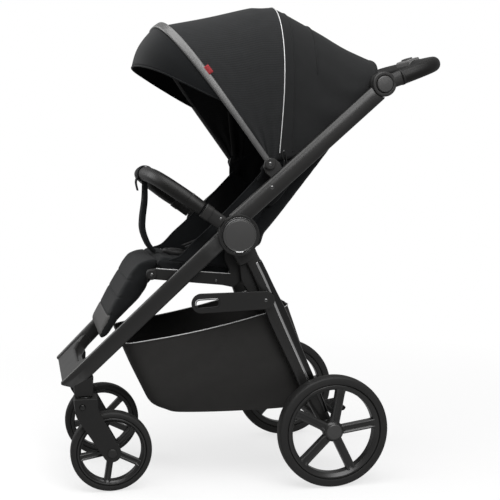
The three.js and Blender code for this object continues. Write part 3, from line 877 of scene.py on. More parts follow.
def cloth_sheet(name: str, grid: Sequence[Sequence[Vector]], thickness: float = 1.6) -> Mesh:
    """Sheet of cloth over a grid of points, with its place on the cloth stored.

    Args:
        name: The piece's name.
        grid: Rows of points in millimetres.
        thickness: Cloth thickness in millimetres.

    Returns:
        The sheet.
    """
    rows, columns = len(grid), len(grid[0])
    points = [p for row in grid for p in row]
    obj = make_mesh(name, points, grid_faces(rows, columns))
    spots: list[Flat] = []
    along = 0.0
    for i, row in enumerate(grid):
        if i:
            along += (row[columns // 2] - grid[i - 1][columns // 2]).length
        total = sum((b - a).length for a, b in zip(row, row[1:]))
        across = -total / 2
        for j, p in enumerate(row):
            if j:
                across += (p - row[j - 1]).length
            spots.append((across * MM, along * MM))
    layer = obj.data.attributes.new("cloth_place", "FLOAT_VECTOR", "POINT")
    layer.data.foreach_set("vector", [c for u, v in spots for c in (u, v, 0.0)])
    solid = obj.modifiers.new("thickness", "SOLIDIFY")
    solid.thickness = thickness * MM
    solid.offset = 0
    settle(obj)
    obj.data.polygons.foreach_set("use_smooth", [True] * len(obj.data.polygons))
    return obj


# ---------------------------------------------------------------- frame
@dataclass
class FrontFrame:
    """Front tubes, cross panel, caster sockets, hub housings and seat rails."""

    body: str = "root"
    tube_top: Point = (216, -262, 624)
    tube_end: Point = (150, -641, 257.7)
    tube_width: float = 25
    tube_height: float = 40
    hub_radius: float = 49
    hub_inner: float = 229
    hub_outer: float = 243
    panel_half: float = 137
    panel_tilt: float = 44
    panel_origin: Point = (0, -625, 252)
    rail_inner: float = 162
    rail_outer: float = 172
    leg_rest_pivot: Flat = (-435, 530)

    def build(self) -> None:
        """Builds and dresses every piece."""
        for name, side in SIDES:
            self.tube(name, side)
            self.socket(name, side)
            self.hub(name, side)
            self.rail(name, side)
        self.cross_panel()

    def tube(self, name: str, side: int) -> None:
        """Oval front tube, hollowed round the hub."""
        ends = [(p[0] * side, p[1], p[2]) for p in (self.tube_top, self.tube_end)]
        path = even_line([Vector(p) for p in ends], 14)
        section = oval(self.tube_width, self.tube_height, 40, 0.72)
        bar = sweep(f"front_tube_shell_{name}", path, lambda share: section, soft_end=6)
        room = turned("room", [(0, 180), (46.4, 180), (46.4, 250), (0, 250)], *HUB, side=side, segments=96)
        cut_away(bar, room, self.under_nose())
        dress(soft_edges(bar, 2.2, 4), FRAME_PAINT, self.body, f"front_tube_{name}")

    def under_nose(self) -> Mesh:
        """Room below the frame's front end, which is cut nearly level."""
        return plate("under_nose", [(-700, 284), (-656, 270), (-600, 256), (-590, 200), (-700, 200)], -260, 260)

    def cross_panel(self) -> None:
        """Wide bar between the front tubes, with a rounded cut on its rear side."""
        half, throat = self.panel_half + 4, 92
        corners = [(-half, -14, 4), (half, -14, 4), (half, 96, 0), (throat + 22, 66, 24), (throat - 10, 52, 20),
                   (10 - throat, 52, 20), (-throat - 22, 66, 24), (-half, 96, 0)]
        turn = math.radians(self.panel_tilt)
        sine, cosine = math.sin(turn), math.cos(turn)
        where = Matrix(((0, 1, 0), (-sine, 0, cosine), (cosine, 0, sine))).to_4x4()
        where = Matrix.Translation(self.panel_origin) @ where
        panel = plate("front_cross_shell", rounded(corners, 8), 0, 31, where=where)
        cut_away(panel, self.under_nose())
        dress(soft_edges(panel, 7, 6), FRAME_PAINT, self.body, "front_cross_panel")

    def socket(self, name: str, side: int) -> None:
        """Moulded socket that holds a caster's stem."""
        outline = rounded([(-622, 239.5, 4), (-579, 239.5, 4), (-576, 288, 2), (-598, 280, 2), (-622, 266, 4)])
        block = plate(f"caster_socket_shell_{name}", outline, 134, 166, side)
        dress(soft_edges(block, 7, 4), MOULDING, self.body, f"caster_socket_{name}")

    def hub(self, name: str, side: int) -> None:
        """Hub housing, cap with its fine ring, and the pin behind them."""
        inner, outer, radius = self.hub_inner, self.hub_outer, self.hub_radius
        ring = [(9, inner), (radius, inner), (radius, outer), (44.5, outer), (43.2, outer - 1.2), (41.2, outer - 1.2),
                (41.2, 239.3), (9, 239.3)]
        housing = turned(f"hub_housing_shell_{name}", ring, *HUB, side=side, segments=96)
        dress(soft_edges(housing, 1.1), MOULDING, self.body, f"hub_housing_{name}")
        face = [(0, 239.9), (40.4, 239.9), (40.4, 246.6), (38.6, 248.8), (37.2, 248.8), (36.2, 248.0), (35.2, 248.8),
                (24, 249.5), (0, 249.9)]
        cap = turned(f"hub_cap_shell_{name}", face, *HUB, side=side, segments=96)
        dress(soft_edges(cap, 0.5, 2), CAP, self.body, f"hub_cap_{name}")
        turns = [polar(HUB, 256 + 2.0 * k, 39.3) for k in range(14)]
        mark_path = [(248.7 * side, y, z) for y, z in turns]
        mark = sweep(f"hub_mark_{name}", mark_path, lambda share: oval(1.6, 2.2, 12, 1))
        dress(shade(mark, 60), BRIGHT, self.body)
        line = [polar(HUB, 10 * k, 42.3) for k in range(36)]
        rings = []
        for y, z in line:
            out = Vector((0, y - HUB[0], z - HUB[1])).normalized()
            rings.append([Vector((242.6 * side, y, z)) + Vector((side, 0, 0)) * a + out * b
                          for a, b in oval(1.3, 1.3, 8, 1)])
        edge = loft(f"hub_ring_{name}", rings, close=True)
        dress(shade(edge, 60), SCREW, self.body)
        pin = turned(f"hub_pin_bar_{name}", [(0, 161), (8, 161), (8, 238.6), (0, 238.6)], *HUB, side=side)
        dress(soft_edges(pin, 1), SCREW, self.body, f"hub_pin_{name}")

    def rail(self, name: str, side: int) -> None:
        """Seat rail with its arm up to the hub, its light edge and bolts."""
        outline = rounded([
            (-447, 520, 8), (-424, 517, 20), (-262, 499, 20), (-236, 493, 10), (-213, 508, 14), (-208, 560, 20),
            (-211, 640, 10), (-226, 650, 8), (-246, 648, 8), (-258, 636, 8), (-256, 560, 20), (-240, 526, 10),
            (-424, 544, 10), (-447, 541, 8)])
        bar = plate(f"seat_rail_shell_{name}", outline, self.rail_inner, self.rail_outer, side)
        dress(soft_edges(bar, 2.6, 4), MOULDING, self.body, f"seat_rail_{name}")
        x = (self.rail_outer - 0.6) * side
        thread_line(f"seat_rail_line_{name}", even_line([Vector((x, -424, 544)), Vector((x, -243, 527))], 6), 0.9,
                    PIPING, self.body)
        knuckle = turned(f"leg_rest_knuckle_{name}", [(0, 165), (13, 165), (13, 175), (10.5, 177), (0, 177)],
                         *self.leg_rest_pivot, side=side, segments=40)
        dress(soft_edges(knuckle, 0.8), MOULDING, self.body)
        screw(f"leg_rest_screw_{name}", 177, self.leg_rest_pivot, side, 4.2, self.body)
        screw(f"seat_rail_screw_{name}", 172.4, (-278, 511), side, 3.2, self.body)


@dataclass
class RearFrame:
    """Rear legs, axle, brake pedal and the folding carry handle."""

    body: str = "rear_frame"
    inner: float = 176
    outer: float = 202.7
    axis: tuple[Flat, ...] = ((-213, 603), (-168, 513), (-129, 420), (-58, 262), (0, 139))
    widths: tuple[Flat, ...] = ((0, 17), (0.2, 18), (0.4, 24.5), (0.73, 21), (1, 16))
    axle_radius: float = 14
    carry_pivot: Flat = (-165, 466)
    carry_front: Flat = (-323, 463)

    def build(self) -> None:
        """Builds and dresses every piece."""
        for name, side in SIDES:
            self.leg(name, side)
        self.axle()
        self.pedal()
        self.carry_handle()

    def half_width(self, share: float) -> float:
        """Half of the leg's width at a share of its length."""
        for (low, small), (high, large) in zip(self.widths, self.widths[1:]):
            if share <= high:
                return small + (large - small) * ramp(share, low, high)
        return self.widths[-1][1]

    def line(self, x: float, offset: Callable[[float], float], steps: int = 28) -> list[Vector]:
        """Line along the leg, moved rearward by what offset gives at each share of its length."""
        flat = smooth_line(self.axis, steps)
        result = []
        for i, here in enumerate(flat):
            along = (flat[min(i + 1, steps)] - flat[max(i - 1, 0)]).normalized()
            shift = offset(i / steps)
            result.append(Vector((x, here.x - along.y * shift, here.y + along.x * shift)))
        return result

    def leg(self, name: str, side: int) -> None:
        """Leg with its collar and foot, a gloss rear band whose darker colour is painted dark reflection, and a bright
        strip that is a painted highlight.
        """
        centre = (self.inner + self.outer) / 2 * side
        thickness = self.outer - self.inner
        bar = sweep(f"leg_bar_{name}", self.line(centre, lambda share: 0),
                    lambda share: oval(thickness, 2 * self.half_width(share), 40, 0.62), soft_end=3)
        boss = turned("boss", [(0, self.inner), (42, self.inner), (42, self.outer), (0, self.outer)], *HUB, side=side)
        foot = turned("foot", [(0, self.inner), (20, self.inner), (20, self.outer + 6), (0, self.outer + 6)],
                      0, 139, side=side)
        leg = joined(f"rear_leg_shell_{name}", [soft_edges(bar, 0), soft_edges(boss, 1.5), soft_edges(foot, 2)])
        dress(leg, FRAME_PAINT, self.body, f"rear_leg_{name}")
        edge = 5.0
        # Painted dark reflection: this gloss band is darker than the leg, standing in for the dark reflections on the
        # glossy tube's rear side.
        dark_reflection_path = self.line(centre, lambda share: (self.half_width(share) + edge) / 2 + 0.6)[3:-2]
        gloss = sweep(f"leg_dark_reflection_{name}", dark_reflection_path,
                      lambda share: oval(thickness + 1.6, self.half_width(0.1 + 0.84 * share) - edge + 0.6, 28, 0.45),
                      soft_end=2)
        dress(shade(gloss), GLOSS_BLACK, self.body)
        # Painted highlight: this bright metal strip stands in for the specular highlight along the leg's ridge.
        highlight_strip_path = self.line((self.outer + 0.4) * side, lambda share: 4.4)[3:22]
        strip = sweep(f"leg_highlight_strip_{name}", highlight_strip_path, lambda share: oval(2.0, 5.6, 16, 0.7), soft_end=1)
        dress(shade(strip, 50), BRIGHT, self.body)
        down = Vector((0, self.axis[1][0] - self.axis[0][0], self.axis[1][1] - self.axis[0][1])).normalized()
        hub = Vector((centre, *HUB))
        collar_path = even_line([hub + down * 42, hub + down * 74], 5)
        collar = sweep(f"leg_collar_{name}", collar_path, lambda share: oval(30.5, 57 - 3 * share, 44, 0.62),
                       soft_end=3)
        dress(shade(collar), LIGHT_MOULDING, self.body)
        gusset = plate(f"leg_gusset_{name}", rounded([(-226, 576, 6), (-190, 576, 6), (-150, 500, 8), (-160, 478, 10),
                                                     (-198, 478, 14), (-218, 510, 20)]), 179, 187, side)
        dress(soft_edges(gusset, 2), MOULDING, self.body)

    def axle(self) -> None:
        """Rear axle with its thinner ends."""
        thick, thin, shoulder, end = self.axle_radius, 6.6, 175.4, 254
        profile = [(0, -end), (thin, -end), (thin, -shoulder), (thick, -shoulder), (thick, shoulder), (thin, shoulder),
                   (thin, end), (0, end)]
        bar = turned("rear_axle_bar", profile, 0, 139, segments=48)
        dress(soft_edges(bar, 1.2), FRAME_PAINT, self.body, "rear_axle")

    def pedal(self) -> None:
        """Brake pedal with grip ribs."""
        outline = rounded([(15, 163, 3), (23, 157.5, 4), (58, 167, 6), (61, 174, 3), (56, 178, 4), (22, 173, 6)])
        base = soft_edges(plate("base", outline, 70, 158), 3, 3)
        ribs = []
        for k in range(7):
            x = 82 + 10.5 * k
            ribs.append(soft_edges(plate("rib", rounded([(26, 172, 1), (54, 176.5, 1), (54, 180, 1.5), (26, 175.5, 1.5)]),
                                         x, x + 4), 0.7, 2))
        dress(joined("brake_pedal_shell", [base, *ribs]), MOULDING, "brake", "brake_pedal")

    def carry_handle(self) -> None:
        """Flat carry handle with its finger slot, boss and screw."""
        rear, front = self.carry_pivot, self.carry_front
        outline = [polar(rear, -90 + 10 * k, 22) for k in range(19)]
        outline += [polar(front, 90 + 10 * k, 24) for k in range(19)]
        slot = rounded([(-338, 450, 12), (-279, 453, 11), (-279, 475, 11), (-338, 473, 12)], 8)
        bar = plate("carry_handle_shell", outline, 217, 222)
        cut_away(bar, plate("slot", slot, 210, 230))
        dress(soft_edges(bar, 1.5, 4), MOULDING, "carry_arm", "carry_handle")
        lip = [(217 + 5.4, y, z) for y, z in slot]
        rings = []
        for i, here in enumerate(lip):
            ahead, back = Vector(lip[(i + 1) % len(lip)]), Vector(lip[i - 1])
            out = (ahead - back).normalized().cross(Vector((1, 0, 0)))
            rings.append([Vector(here) + Vector((1, 0, 0)) * a + out * (b - 1.6) for a, b in oval(1.6, 2.6, 8, 1)])
        dress(shade(loft("carry_slot_lip", rings, close=True), 60), MOULDING, "carry_arm")
        screw("carry_screw", 222, rear, 1, 4.2, "carry_arm")
        boss = turned("carry_boss", [(0, 201), (11, 201), (11, 216.4), (0, 216.4)], *rear, segments=40)
        dress(soft_edges(boss, 1), MOULDING, self.body)


@dataclass
class HandleFrame:
    """Upper tubes, handle joints, canopy brackets and bow."""

    body: str = "handle_frame"
    inner: float = 204
    outer: float = 228
    height: float = 43
    start: Flat = (-243, 654)
    end: Flat = (121, 970)
    joint_radius: float = 30
    bow_angle: float = 96
    bow_reach: float = 374
    bow_half: float = 190

    def build(self) -> None:
        """Builds and dresses every piece."""
        for name, side in SIDES:
            self.tube(name, side)
            self.joint(name, side)
            self.bracket(name, side)
        self.bow()

    def tube(self, name: str, side: int) -> None:
        """Upper tube with its shoulder at the hub."""
        x = (self.inner + self.outer) / 2 * side
        path = even_line([Vector((x, *self.start)), Vector((x, *self.end))], 14)
        section = oval(self.outer - self.inner, self.height, 44, 0.8)
        bar = sweep("bar", path, lambda share: section, soft_end=7)
        room = turned("room", [(0, 180), (31, 180), (31, 250), (0, 250)], *HANDLE_PIVOT, side=side, segments=72)
        cut_away(bar, room)
        boss = turned("boss", [(0, self.inner), (44, self.inner), (44, self.outer), (0, self.outer)], *HUB, side=side,
                      segments=80)
        tube = joined(f"upper_tube_shell_{name}", [soft_edges(bar, 0), soft_edges(boss, 2)])
        dress(tube, FRAME_PAINT, self.body, f"upper_tube_{name}")
        screw(f"tube_screw_{name}", self.outer, (-152, 738), side, 4.6, self.body)

    def joint(self, name: str, side: int) -> None:
        """Fixed inner half of the handle's hinge."""
        profile = [(0, 202), (self.joint_radius, 202), (self.joint_radius, 216), (0, 216)]
        disc = turned(f"handle_joint_shell_{name}", profile, *HANDLE_PIVOT, side=side, segments=72)
        dress(soft_edges(disc, 1.6), MOULDING, self.body, f"handle_joint_{name}")

    def bracket(self, name: str, side: int) -> None:
        """Bracket that carries the canopy's pivot."""
        y, z = CANOPY_PIVOT
        outline = rounded([(y - 14, 786, 8), (y - 7, 770, 4), (y + 9, 756, 5), (y + 34, 779, 5), (y + 26, 796, 6),
                           (y + 12, 807, 8), (y - 8, 808, 10)])
        block = plate(f"canopy_bracket_shell_{name}", outline, 203, 213.5, side)
        dress(soft_edges(block, 2, 3), LIGHT_MOULDING, self.body, f"canopy_bracket_{name}")
        loop = [Vector((214 * side, y + a, z + b)) for a, b in
                ((36, 8), (31, 22), (35, 31), (40, 22), (42, 6), (46, -14), (41, -24), (35, -14), (36, 8))]
        thread_line(f"zip_pull_{name}", smooth_line(loop, 48), 1.7, GLOSS_BLACK, self.body)

    def bow(self) -> None:
        """Inner bow that holds the cloth up."""
        band = arch_band("canopy_bow_shell", self.bow_angle, self.bow_reach, self.bow_half,
                         lambda share: (12, 5), 0.01)
        dress(shade(band), MOULDING, self.body, "canopy_bow")


def arch_band(name: str, angle: float, reach: float, half: float, size: Callable[[float], Flat],
              start: float) -> Mesh:
    """Band along a canopy arch.

    Args:
        name: The piece's name.
        angle: Angle of the arch's plane in the side view.
        reach: Height of the arch above its pivot.
        half: Half of its width.
        size: Gives (width along the stroller, thickness) at a share of the arch.
        start: Angle on the arch where the band starts, in radians.

    Returns:
        The band.
    """
    turn = math.radians(angle)
    fine = []
    count = 400
    for k in range(count + 1):
        t = start + (math.pi - 2 * start) * k / count
        y, z = polar(CANOPY_PIVOT, angle, reach * arch_rise(t))
        fine.append(Vector((half * arch_across(t), y, z)))
    path = even_line(fine, 84)
    across = (0, -math.sin(turn), math.cos(turn))
    return sweep(name, path, lambda share: oval(*size(share), 20, 0.6), across, soft_end=1.5)


@dataclass
class PushHandle:
    """Handle arms, padded grip, fold button and tilt buttons."""

    body: str = "push_handle"
    angle: float = 20.6
    radius: float = 18.3
    reach: float = 166
    half: tuple[Flat, ...] = ((218, 50), (216, 90), (208, 124), (189, 149), (156, 161), (90, 165))

    def build(self) -> None:
        """Builds and dresses every piece."""
        for name, side in SIDES:
            self.arm(name, side)
        self.grip()
        self.fold_button()

    def spot(self, x: float, reach: float) -> Vector:
        """Point of the handle's plane."""
        return Vector((x, *polar(HANDLE_PIVOT, self.angle, reach)))

    def lifted(self, along: float, lift: float) -> Flat:
        """Side-view point at a reach along the handle and a lift above it."""
        y, z = polar(HANDLE_PIVOT, self.angle, along)
        turn = math.radians(self.angle)
        return y - math.sin(turn) * lift, z + math.cos(turn) * lift

    def arm(self, name: str, side: int) -> None:
        """Outer half of the hinge with its arm, sleeve and button."""
        profile = [(0, 216.6), (30, 216.6), (30, 231), (28, 233), (22.4, 233), (21, 231.6), (21, 226.4), (0, 226.4)]
        disc = turned("disc", profile, *HANDLE_PIVOT, side=side, segments=72)
        bar = sweep("bar", even_line([self.spot(221 * side, 23), self.spot(219 * side, 50)], 8),
                    lambda share: oval(25, 34 + 2 * share, 36, 0.7), soft_end=1.5)
        room = turned("room", [(0, 190), (30.7, 190), (30.7, 216.5), (0, 216.5)], *HANDLE_PIVOT, side=side,
                      segments=72)
        cut_away(bar, room)
        arm = joined(f"handle_arm_shell_{name}", [soft_edges(disc, 0.9), soft_edges(bar, 0.6, 2)])
        dress(arm, LIGHT_MOULDING, self.body, f"handle_arm_{name}")
        face = [(0, 229.8), (19.9, 229.8), (19.9, 235), (18.4, 236.6), (10, 237.2), (0, 237.4)]
        button = turned(f"handle_button_shell_{name}", face, *HANDLE_PIVOT, side=side, segments=64)
        dress(soft_edges(button, 0.6), CAP, f"tilt_button_{name}", f"handle_button_{name}")
        ring = sweep(f"grip_ring_{name}", even_line([self.spot(219 * side, 47), self.spot(218.4 * side, 53)], 5),
                     lambda share: oval(36.4, 38, 36, 0.85), soft_end=1.6)
        dress(shade(ring), MOULDING, self.body)

    def grip(self) -> None:
        """Leather-covered grip with its seam."""
        points = [self.spot(x, r) for x, r in self.half] + [self.spot(0, self.reach)]
        points += [self.spot(-x, r) for x, r in reversed(self.half)]
        path = smooth_line(points, 90)
        turn = math.radians(self.angle)
        normal = (0, -math.sin(turn), math.cos(turn))
        swell = self.radius
        grip = sweep("handle_grip_cover", path, lambda share: oval(2 * swell, 2 * swell, 36, 0.95), normal,
                     soft_end=3)
        dress(shade(grip, 50), LEATHER, self.body, "handle_grip")
        seam = []
        for i, here in enumerate(path):
            along = (path[min(i + 1, 90)] - path[max(i - 1, 0)]).normalized()
            inward = along.cross(Vector(normal))
            seam.append(here - inward * (swell - 0.2))
        thread_line("handle_grip_seam", seam[2:-2], 0.9, LEATHER, self.body, normal)

    def fold_button(self) -> None:
        """Housing of the fold button and the button in it."""
        reach = self.reach
        outline = rounded([(*self.lifted(reach - 16, 2), 4), (*self.lifted(reach + 16, 2), 4),
                           (*self.lifted(reach + 15, 23.5), 6), (*self.lifted(reach - 15, 23.5), 6)])
        block = plate("block", outline, -46, 46)
        hole = plate("hole", [self.lifted(reach - 8.6, 18), self.lifted(reach + 8.6, 18), self.lifted(reach + 8.6, 30),
                              self.lifted(reach - 8.6, 30)], -20.6, 20.6)
        cut_away(block, hole)
        block.name = "fold_button_shell"
        dress(soft_edges(block, 3, 4), FOLD_GREY, self.body, "fold_button_housing")
        face = rounded([(*self.lifted(reach - 8, 21.6), 1), (*self.lifted(reach + 8, 21.6), 1),
                        (*self.lifted(reach + 8, 27.4), 2), (*self.lifted(reach - 8, 27.4), 2)])
        key = plate("fold_key", face, -20, 20)
        dress(soft_edges(key, 1.4), CAP, "fold_release", "fold_button")


# ---------------------------------------------------------------- canopy
def hang(obj: Mesh, grid: Sequence[Sequence[Vector]]) -> None:
    """Logs a sheet's size, worked out from its finished shape."""
    cut = cut_of(grid)
    LOG.info("%s spans %.3f x %.3f m, %.3f m2", obj.name, cut.width, cut.length, cut.area)


@dataclass
class Canopy:
    """Hoop, visor and the cloth panels of the canopy."""

    body: str = "canopy_front"
    frame_body: str = "handle_frame"
    hoop_angle: float = 125.7
    hoop_reach: float = 418
    hoop_half: float = 218
    bow_angle: float = 91.5
    bow_reach: float = 388
    bow_half: float = 204
    piping_base: Flat = (-130, 800)
    piping_apex: Flat = (-112, 1184)
    piping_half: float = 205.5
    columns: int = 120
    sag: float = 2
    visor_from: float = 0.30

    def build(self) -> None:
        """Builds and dresses every piece."""
        self.hoop()
        self.front_panel()
        self.rear_panel()
        self.visor()
        self.tag()
        self.drop_cloth()
        for name, side in SIDES:
            self.side_cloth(name, side)

    def turns(self) -> list[float]:
        """Angles that space points evenly along an arch."""
        start, end = 0.0006, math.pi - 0.0006
        fine = [start + (end - start) * k / 900 for k in range(901)]
        line = [Vector((205 * arch_across(t), 390 * arch_rise(t), t)) for t in fine]
        return [p.z for p in even_line(line, self.columns)]

    def arch_point(self, turn: float, base: Flat, apex: Flat, half: float) -> Vector:
        """Point on an arch that stands on base and peaks at apex."""
        rise = arch_rise(turn)
        return Vector((half * arch_across(turn), base[0] + (apex[0] - base[0]) * rise,
                       base[1] + (apex[1] - base[1]) * rise))

    def hoop_point(self, turn: float, inset: float = 0.0, angle_shift: float = 0.0) -> Vector:
        """Point on the hoop's arch."""
        apex = polar(CANOPY_PIVOT, self.hoop_angle + angle_shift, self.hoop_reach - inset)
        return self.arch_point(turn, CANOPY_PIVOT, apex, self.hoop_half - inset)

    def piping_point(self, turn: float, out: float = 0.0) -> Vector:
        """Point on the seam between the two panels."""
        spot = self.arch_point(turn, self.piping_base, self.piping_apex, self.piping_half + out)
        rise = arch_rise(turn)
        spot.y += 7 * math.sin(math.pi * rise ** 1.2)
        spot.z += out * rise
        return spot

    def hoop(self) -> None:
        """Cloth-covered hoop with its plastic ends."""
        def size(share: float) -> Flat:
            middle_share = 1 - abs(2 * share - 1)
            return 14 + 7 * ramp(middle_share, 0.1, 0.7), 8

        band = arch_band("canopy_hoop_band", self.hoop_angle, self.hoop_reach, self.hoop_half, size, 0.002)
        dress(shade(band, 60), TRIM_BAND, self.body, "canopy_hoop", cloth=lambda co: (co.x, co.z * 1.3))
        for name, side in SIDES:
            eye = turned(f"hoop_eye_{name}", [(0, 215.5), (14, 215.5), (14, 222), (12, 224), (0, 224)],
                         *CANOPY_PIVOT, side=side, segments=48)
            dress(soft_edges(eye, 0.8), LIGHT_MOULDING, self.body)
            screw(f"hoop_screw_{name}", 224, CANOPY_PIVOT, side, 4.6, self.body)

    def front_panel(self) -> None:
        """Ribbed cloth from the seam over the bow to the hoop."""
        grid = []
        rows = 44
        bow_apex = polar(CANOPY_PIVOT, self.bow_angle, self.bow_reach)
        for i in range(rows + 1):
            share = i / rows
            row = []
            for turn in self.turns():
                hoop = self.hoop_point(turn, 4.5)
                bow = self.arch_point(turn, CANOPY_PIVOT, bow_apex, self.bow_half)
                seam = self.piping_point(turn)
                split = 0.62
                if share < split:
                    t = share / split
                    spot = hoop.lerp(bow, t)
                else:
                    t = (share - split) / (1 - split)
                    spot = bow.lerp(seam, t)
                middle_point = Vector((0, -170, 860))
                inward = (middle_point - spot).normalized()
                loose = self.sag * arch_rise(turn) * math.sin(math.pi * t) ** 2
                low = 1 - ramp(spot.z, 820, 960)
                fold = 2.4 * low * math.sin(share * 21 + 0.6 * math.sin(spot.z / 17))
                row.append(spot + inward * (loose * (1.0 if share < split else 0.4) + fold))
            grid.append(row)
        obj = cloth_sheet("canopy_front_cloth", grid)
        dress(obj, CANOPY_RIB, None, "canopy_front_panel")
        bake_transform(obj)
        hang(obj, grid)

    def rear_panel(self) -> None:
        """Plain cloth from the seam to the open rear end, with its piping and seam."""
        stations = [((-84, 810), (-60, 1162), 204.0), ((-30, 858), (8, 1128), 203.5), ((30, 911), (74, 1086), 203.0),
                    ((112, 984), (128, 1055), 202.5)]
        turns = self.turns()
        columns = []
        for turn in turns:
            points = [self.piping_point(turn)]
            points += [self.arch_point(turn, base, apex, half) for base, apex, half in stations]
            columns.append(smooth_line(points, 36))
        grid = [list(row) for row in zip(*columns)]
        middle_point = Vector((0, -40, 900))
        for i, row in enumerate(grid):
            for j, spot in enumerate(row):
                rise = arch_rise(turns[j])
                share = i / 36
                ripple = 1.6 * (1 - ramp(rise, 0.25, 0.8)) * math.sin(share * 17 + j * 0.35)
                hollow = 5 * math.sin(math.pi * min(share * 1.15, 1)) * ramp(rise, 0.1, 0.5)
                row[j] = spot + (middle_point - spot).normalized() * (hollow + ripple * math.sin(math.pi * share))
        obj = cloth_sheet("canopy_rear_cloth", grid)
        dress(obj, CANOPY_PLAIN, self.frame_body, "canopy_rear_panel")
        keep = turns[2:-2]
        piping = thread_line("canopy_piping", [self.piping_point(t, 1.4) for t in keep], 1.1, PIPING, self.frame_body,
                             (0, 1, 0))
        welt = thread_line("canopy_welt", [p + (p - middle_point).normalized() * 0.8 for p in grid[4][2:-2]], 1.8,
                           CANOPY_PLAIN, self.frame_body, (0, 1, 0))
        hem = thread_line("canopy_rear_hem", grid[-1], 2.0, CANOPY_PLAIN, self.frame_body, (0, 1, 0))
        flap = [p + (p - middle_point).normalized() * 1.6 for p in grid[13][26:-26]]
        vent = thread_line("canopy_vent_edge", flap, 1.6, CANOPY_PLAIN, self.frame_body, (0, 1, 0))
        hang(obj, grid)

    def visor(self) -> None:
        """Short visor that droops from the hoop."""
        half = [(206, -270, 944), (192, -304, 960), (167, -362, 990), (134, -410, 1015), (76, -445, 1030),
                (0, -457, 1034)]
        outer = smooth_line([*half, *[(-x, y, z) for x, y, z in reversed(half[:-1])]], 96)
        fine = [self.visor_from + (math.pi - 2 * self.visor_from) * k / 600 for k in range(601)]
        inner = even_line([self.hoop_point(t, 1.5, 1.5) for t in fine], 96)
        grid = []
        rows = 14
        for i in range(rows + 1):
            share = i / rows
            row = []
            for j, (a, b) in enumerate(zip(inner, outer)):
                spot = a.lerp(b, share)
                width_share = math.sin(math.pi * j / 96)
                bulge = 9 * math.sin(math.pi * share) * width_share
                row.append(spot + Vector((0, -0.93, 0.36)) * bulge)
            grid.append(row)
        obj = cloth_sheet("canopy_visor_cloth", grid, 2.2)
        dress(obj, VISOR_CLOTH, self.body, "canopy_visor")
        hem = thread_line("visor_hem", outer, 2.4, VISOR_CLOTH, self.body, (0, 0, 1))
        hang(obj, grid)

    def tag(self) -> None:
        """Plain tag sewn into the hoop's rear edge."""
        turn = 0.52
        here, ahead = self.hoop_point(turn, -2.5), self.hoop_point(turn + 0.02, -2.5)
        along = (ahead - here).normalized()
        lean = math.radians(self.hoop_angle)
        rearward = Vector((0, math.sin(lean), -math.cos(lean)))
        grid = []
        for i in range(9):
            row = []
            for j in range(7):
                share = i / 8
                row.append(here + rearward * (3 + 14 * share) + along * (22 * (j / 6 - 0.5))
                           + Vector((2.4, 0, 0)) * math.sin(math.pi * share * 0.7))
            grid.append(row)
        obj = cloth_sheet("hoop_tag", grid, 1.0)
        dress(obj, RED_TAG, self.body)
        hang(obj, grid)

    def side_cloth(self, name: str, side: int) -> None:
        """Slightly rippled cloth between the canopy's lower edge and the backrest's side."""
        upper = smooth_line([(203, -168, 790), (203, -132, 804), (203, -30, 868), (202, 104, 990)], 48)
        lower = smooth_line([(159, -176, 756), (156, -138, 690), (152, -58, 780), (148, 68, 914)], 48)
        grid = []
        rows = 18
        for i in range(rows + 1):
            share = i / rows
            row = []
            for j, (a, b) in enumerate(zip(upper, lower)):
                fold = 3.2 * math.sin(math.pi * share) * math.sin(j * 0.83 + share * 2 + 0.7 * math.sin(j * 0.3))
                spot = a.lerp(b, share)
                row.append(Vector(((spot.x + fold) * side, spot.y, spot.z - 8 * math.sin(math.pi * share))))
            grid.append(row)
        obj = cloth_sheet(f"seat_side_cloth_{name}", grid, 1.4)
        dress(obj, SEAT_CLOTH, None)
        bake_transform(obj)
        hang(obj, grid)

    def drop_cloth(self) -> None:
        """Cloth that hangs from the canopy's rear end to the top of the backrest."""
        columns = 60
        top, low = [], []
        for j in range(columns + 1):
            across = 1 - 2 * j / columns
            turn = math.acos(math.copysign(abs(across) ** 1.5, across) * 0.985)
            upper = self.arch_point(turn, (96, 988), (126, 1053), 200)
            top.append(upper)
            low.append(Vector((150 * across, 82, 918)))
        rows = 18
        grid = []
        for i in range(rows + 1):
            share = i / rows
            row = []
            for j, (a, b) in enumerate(zip(top, low)):
                fold = 5 * math.sin(math.pi * share) * math.sin(j * 0.62 + 0.8 * math.sin(j * 0.21))
                row.append(a.lerp(b, share) + Vector((0, fold - 10 * math.sin(math.pi * share), 0)))
            grid.append(row)
        obj = cloth_sheet("canopy_drop_cloth", grid, 1.2)
        dress(obj, CANOPY_PLAIN, None)
        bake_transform(obj)
        hang(obj, grid)


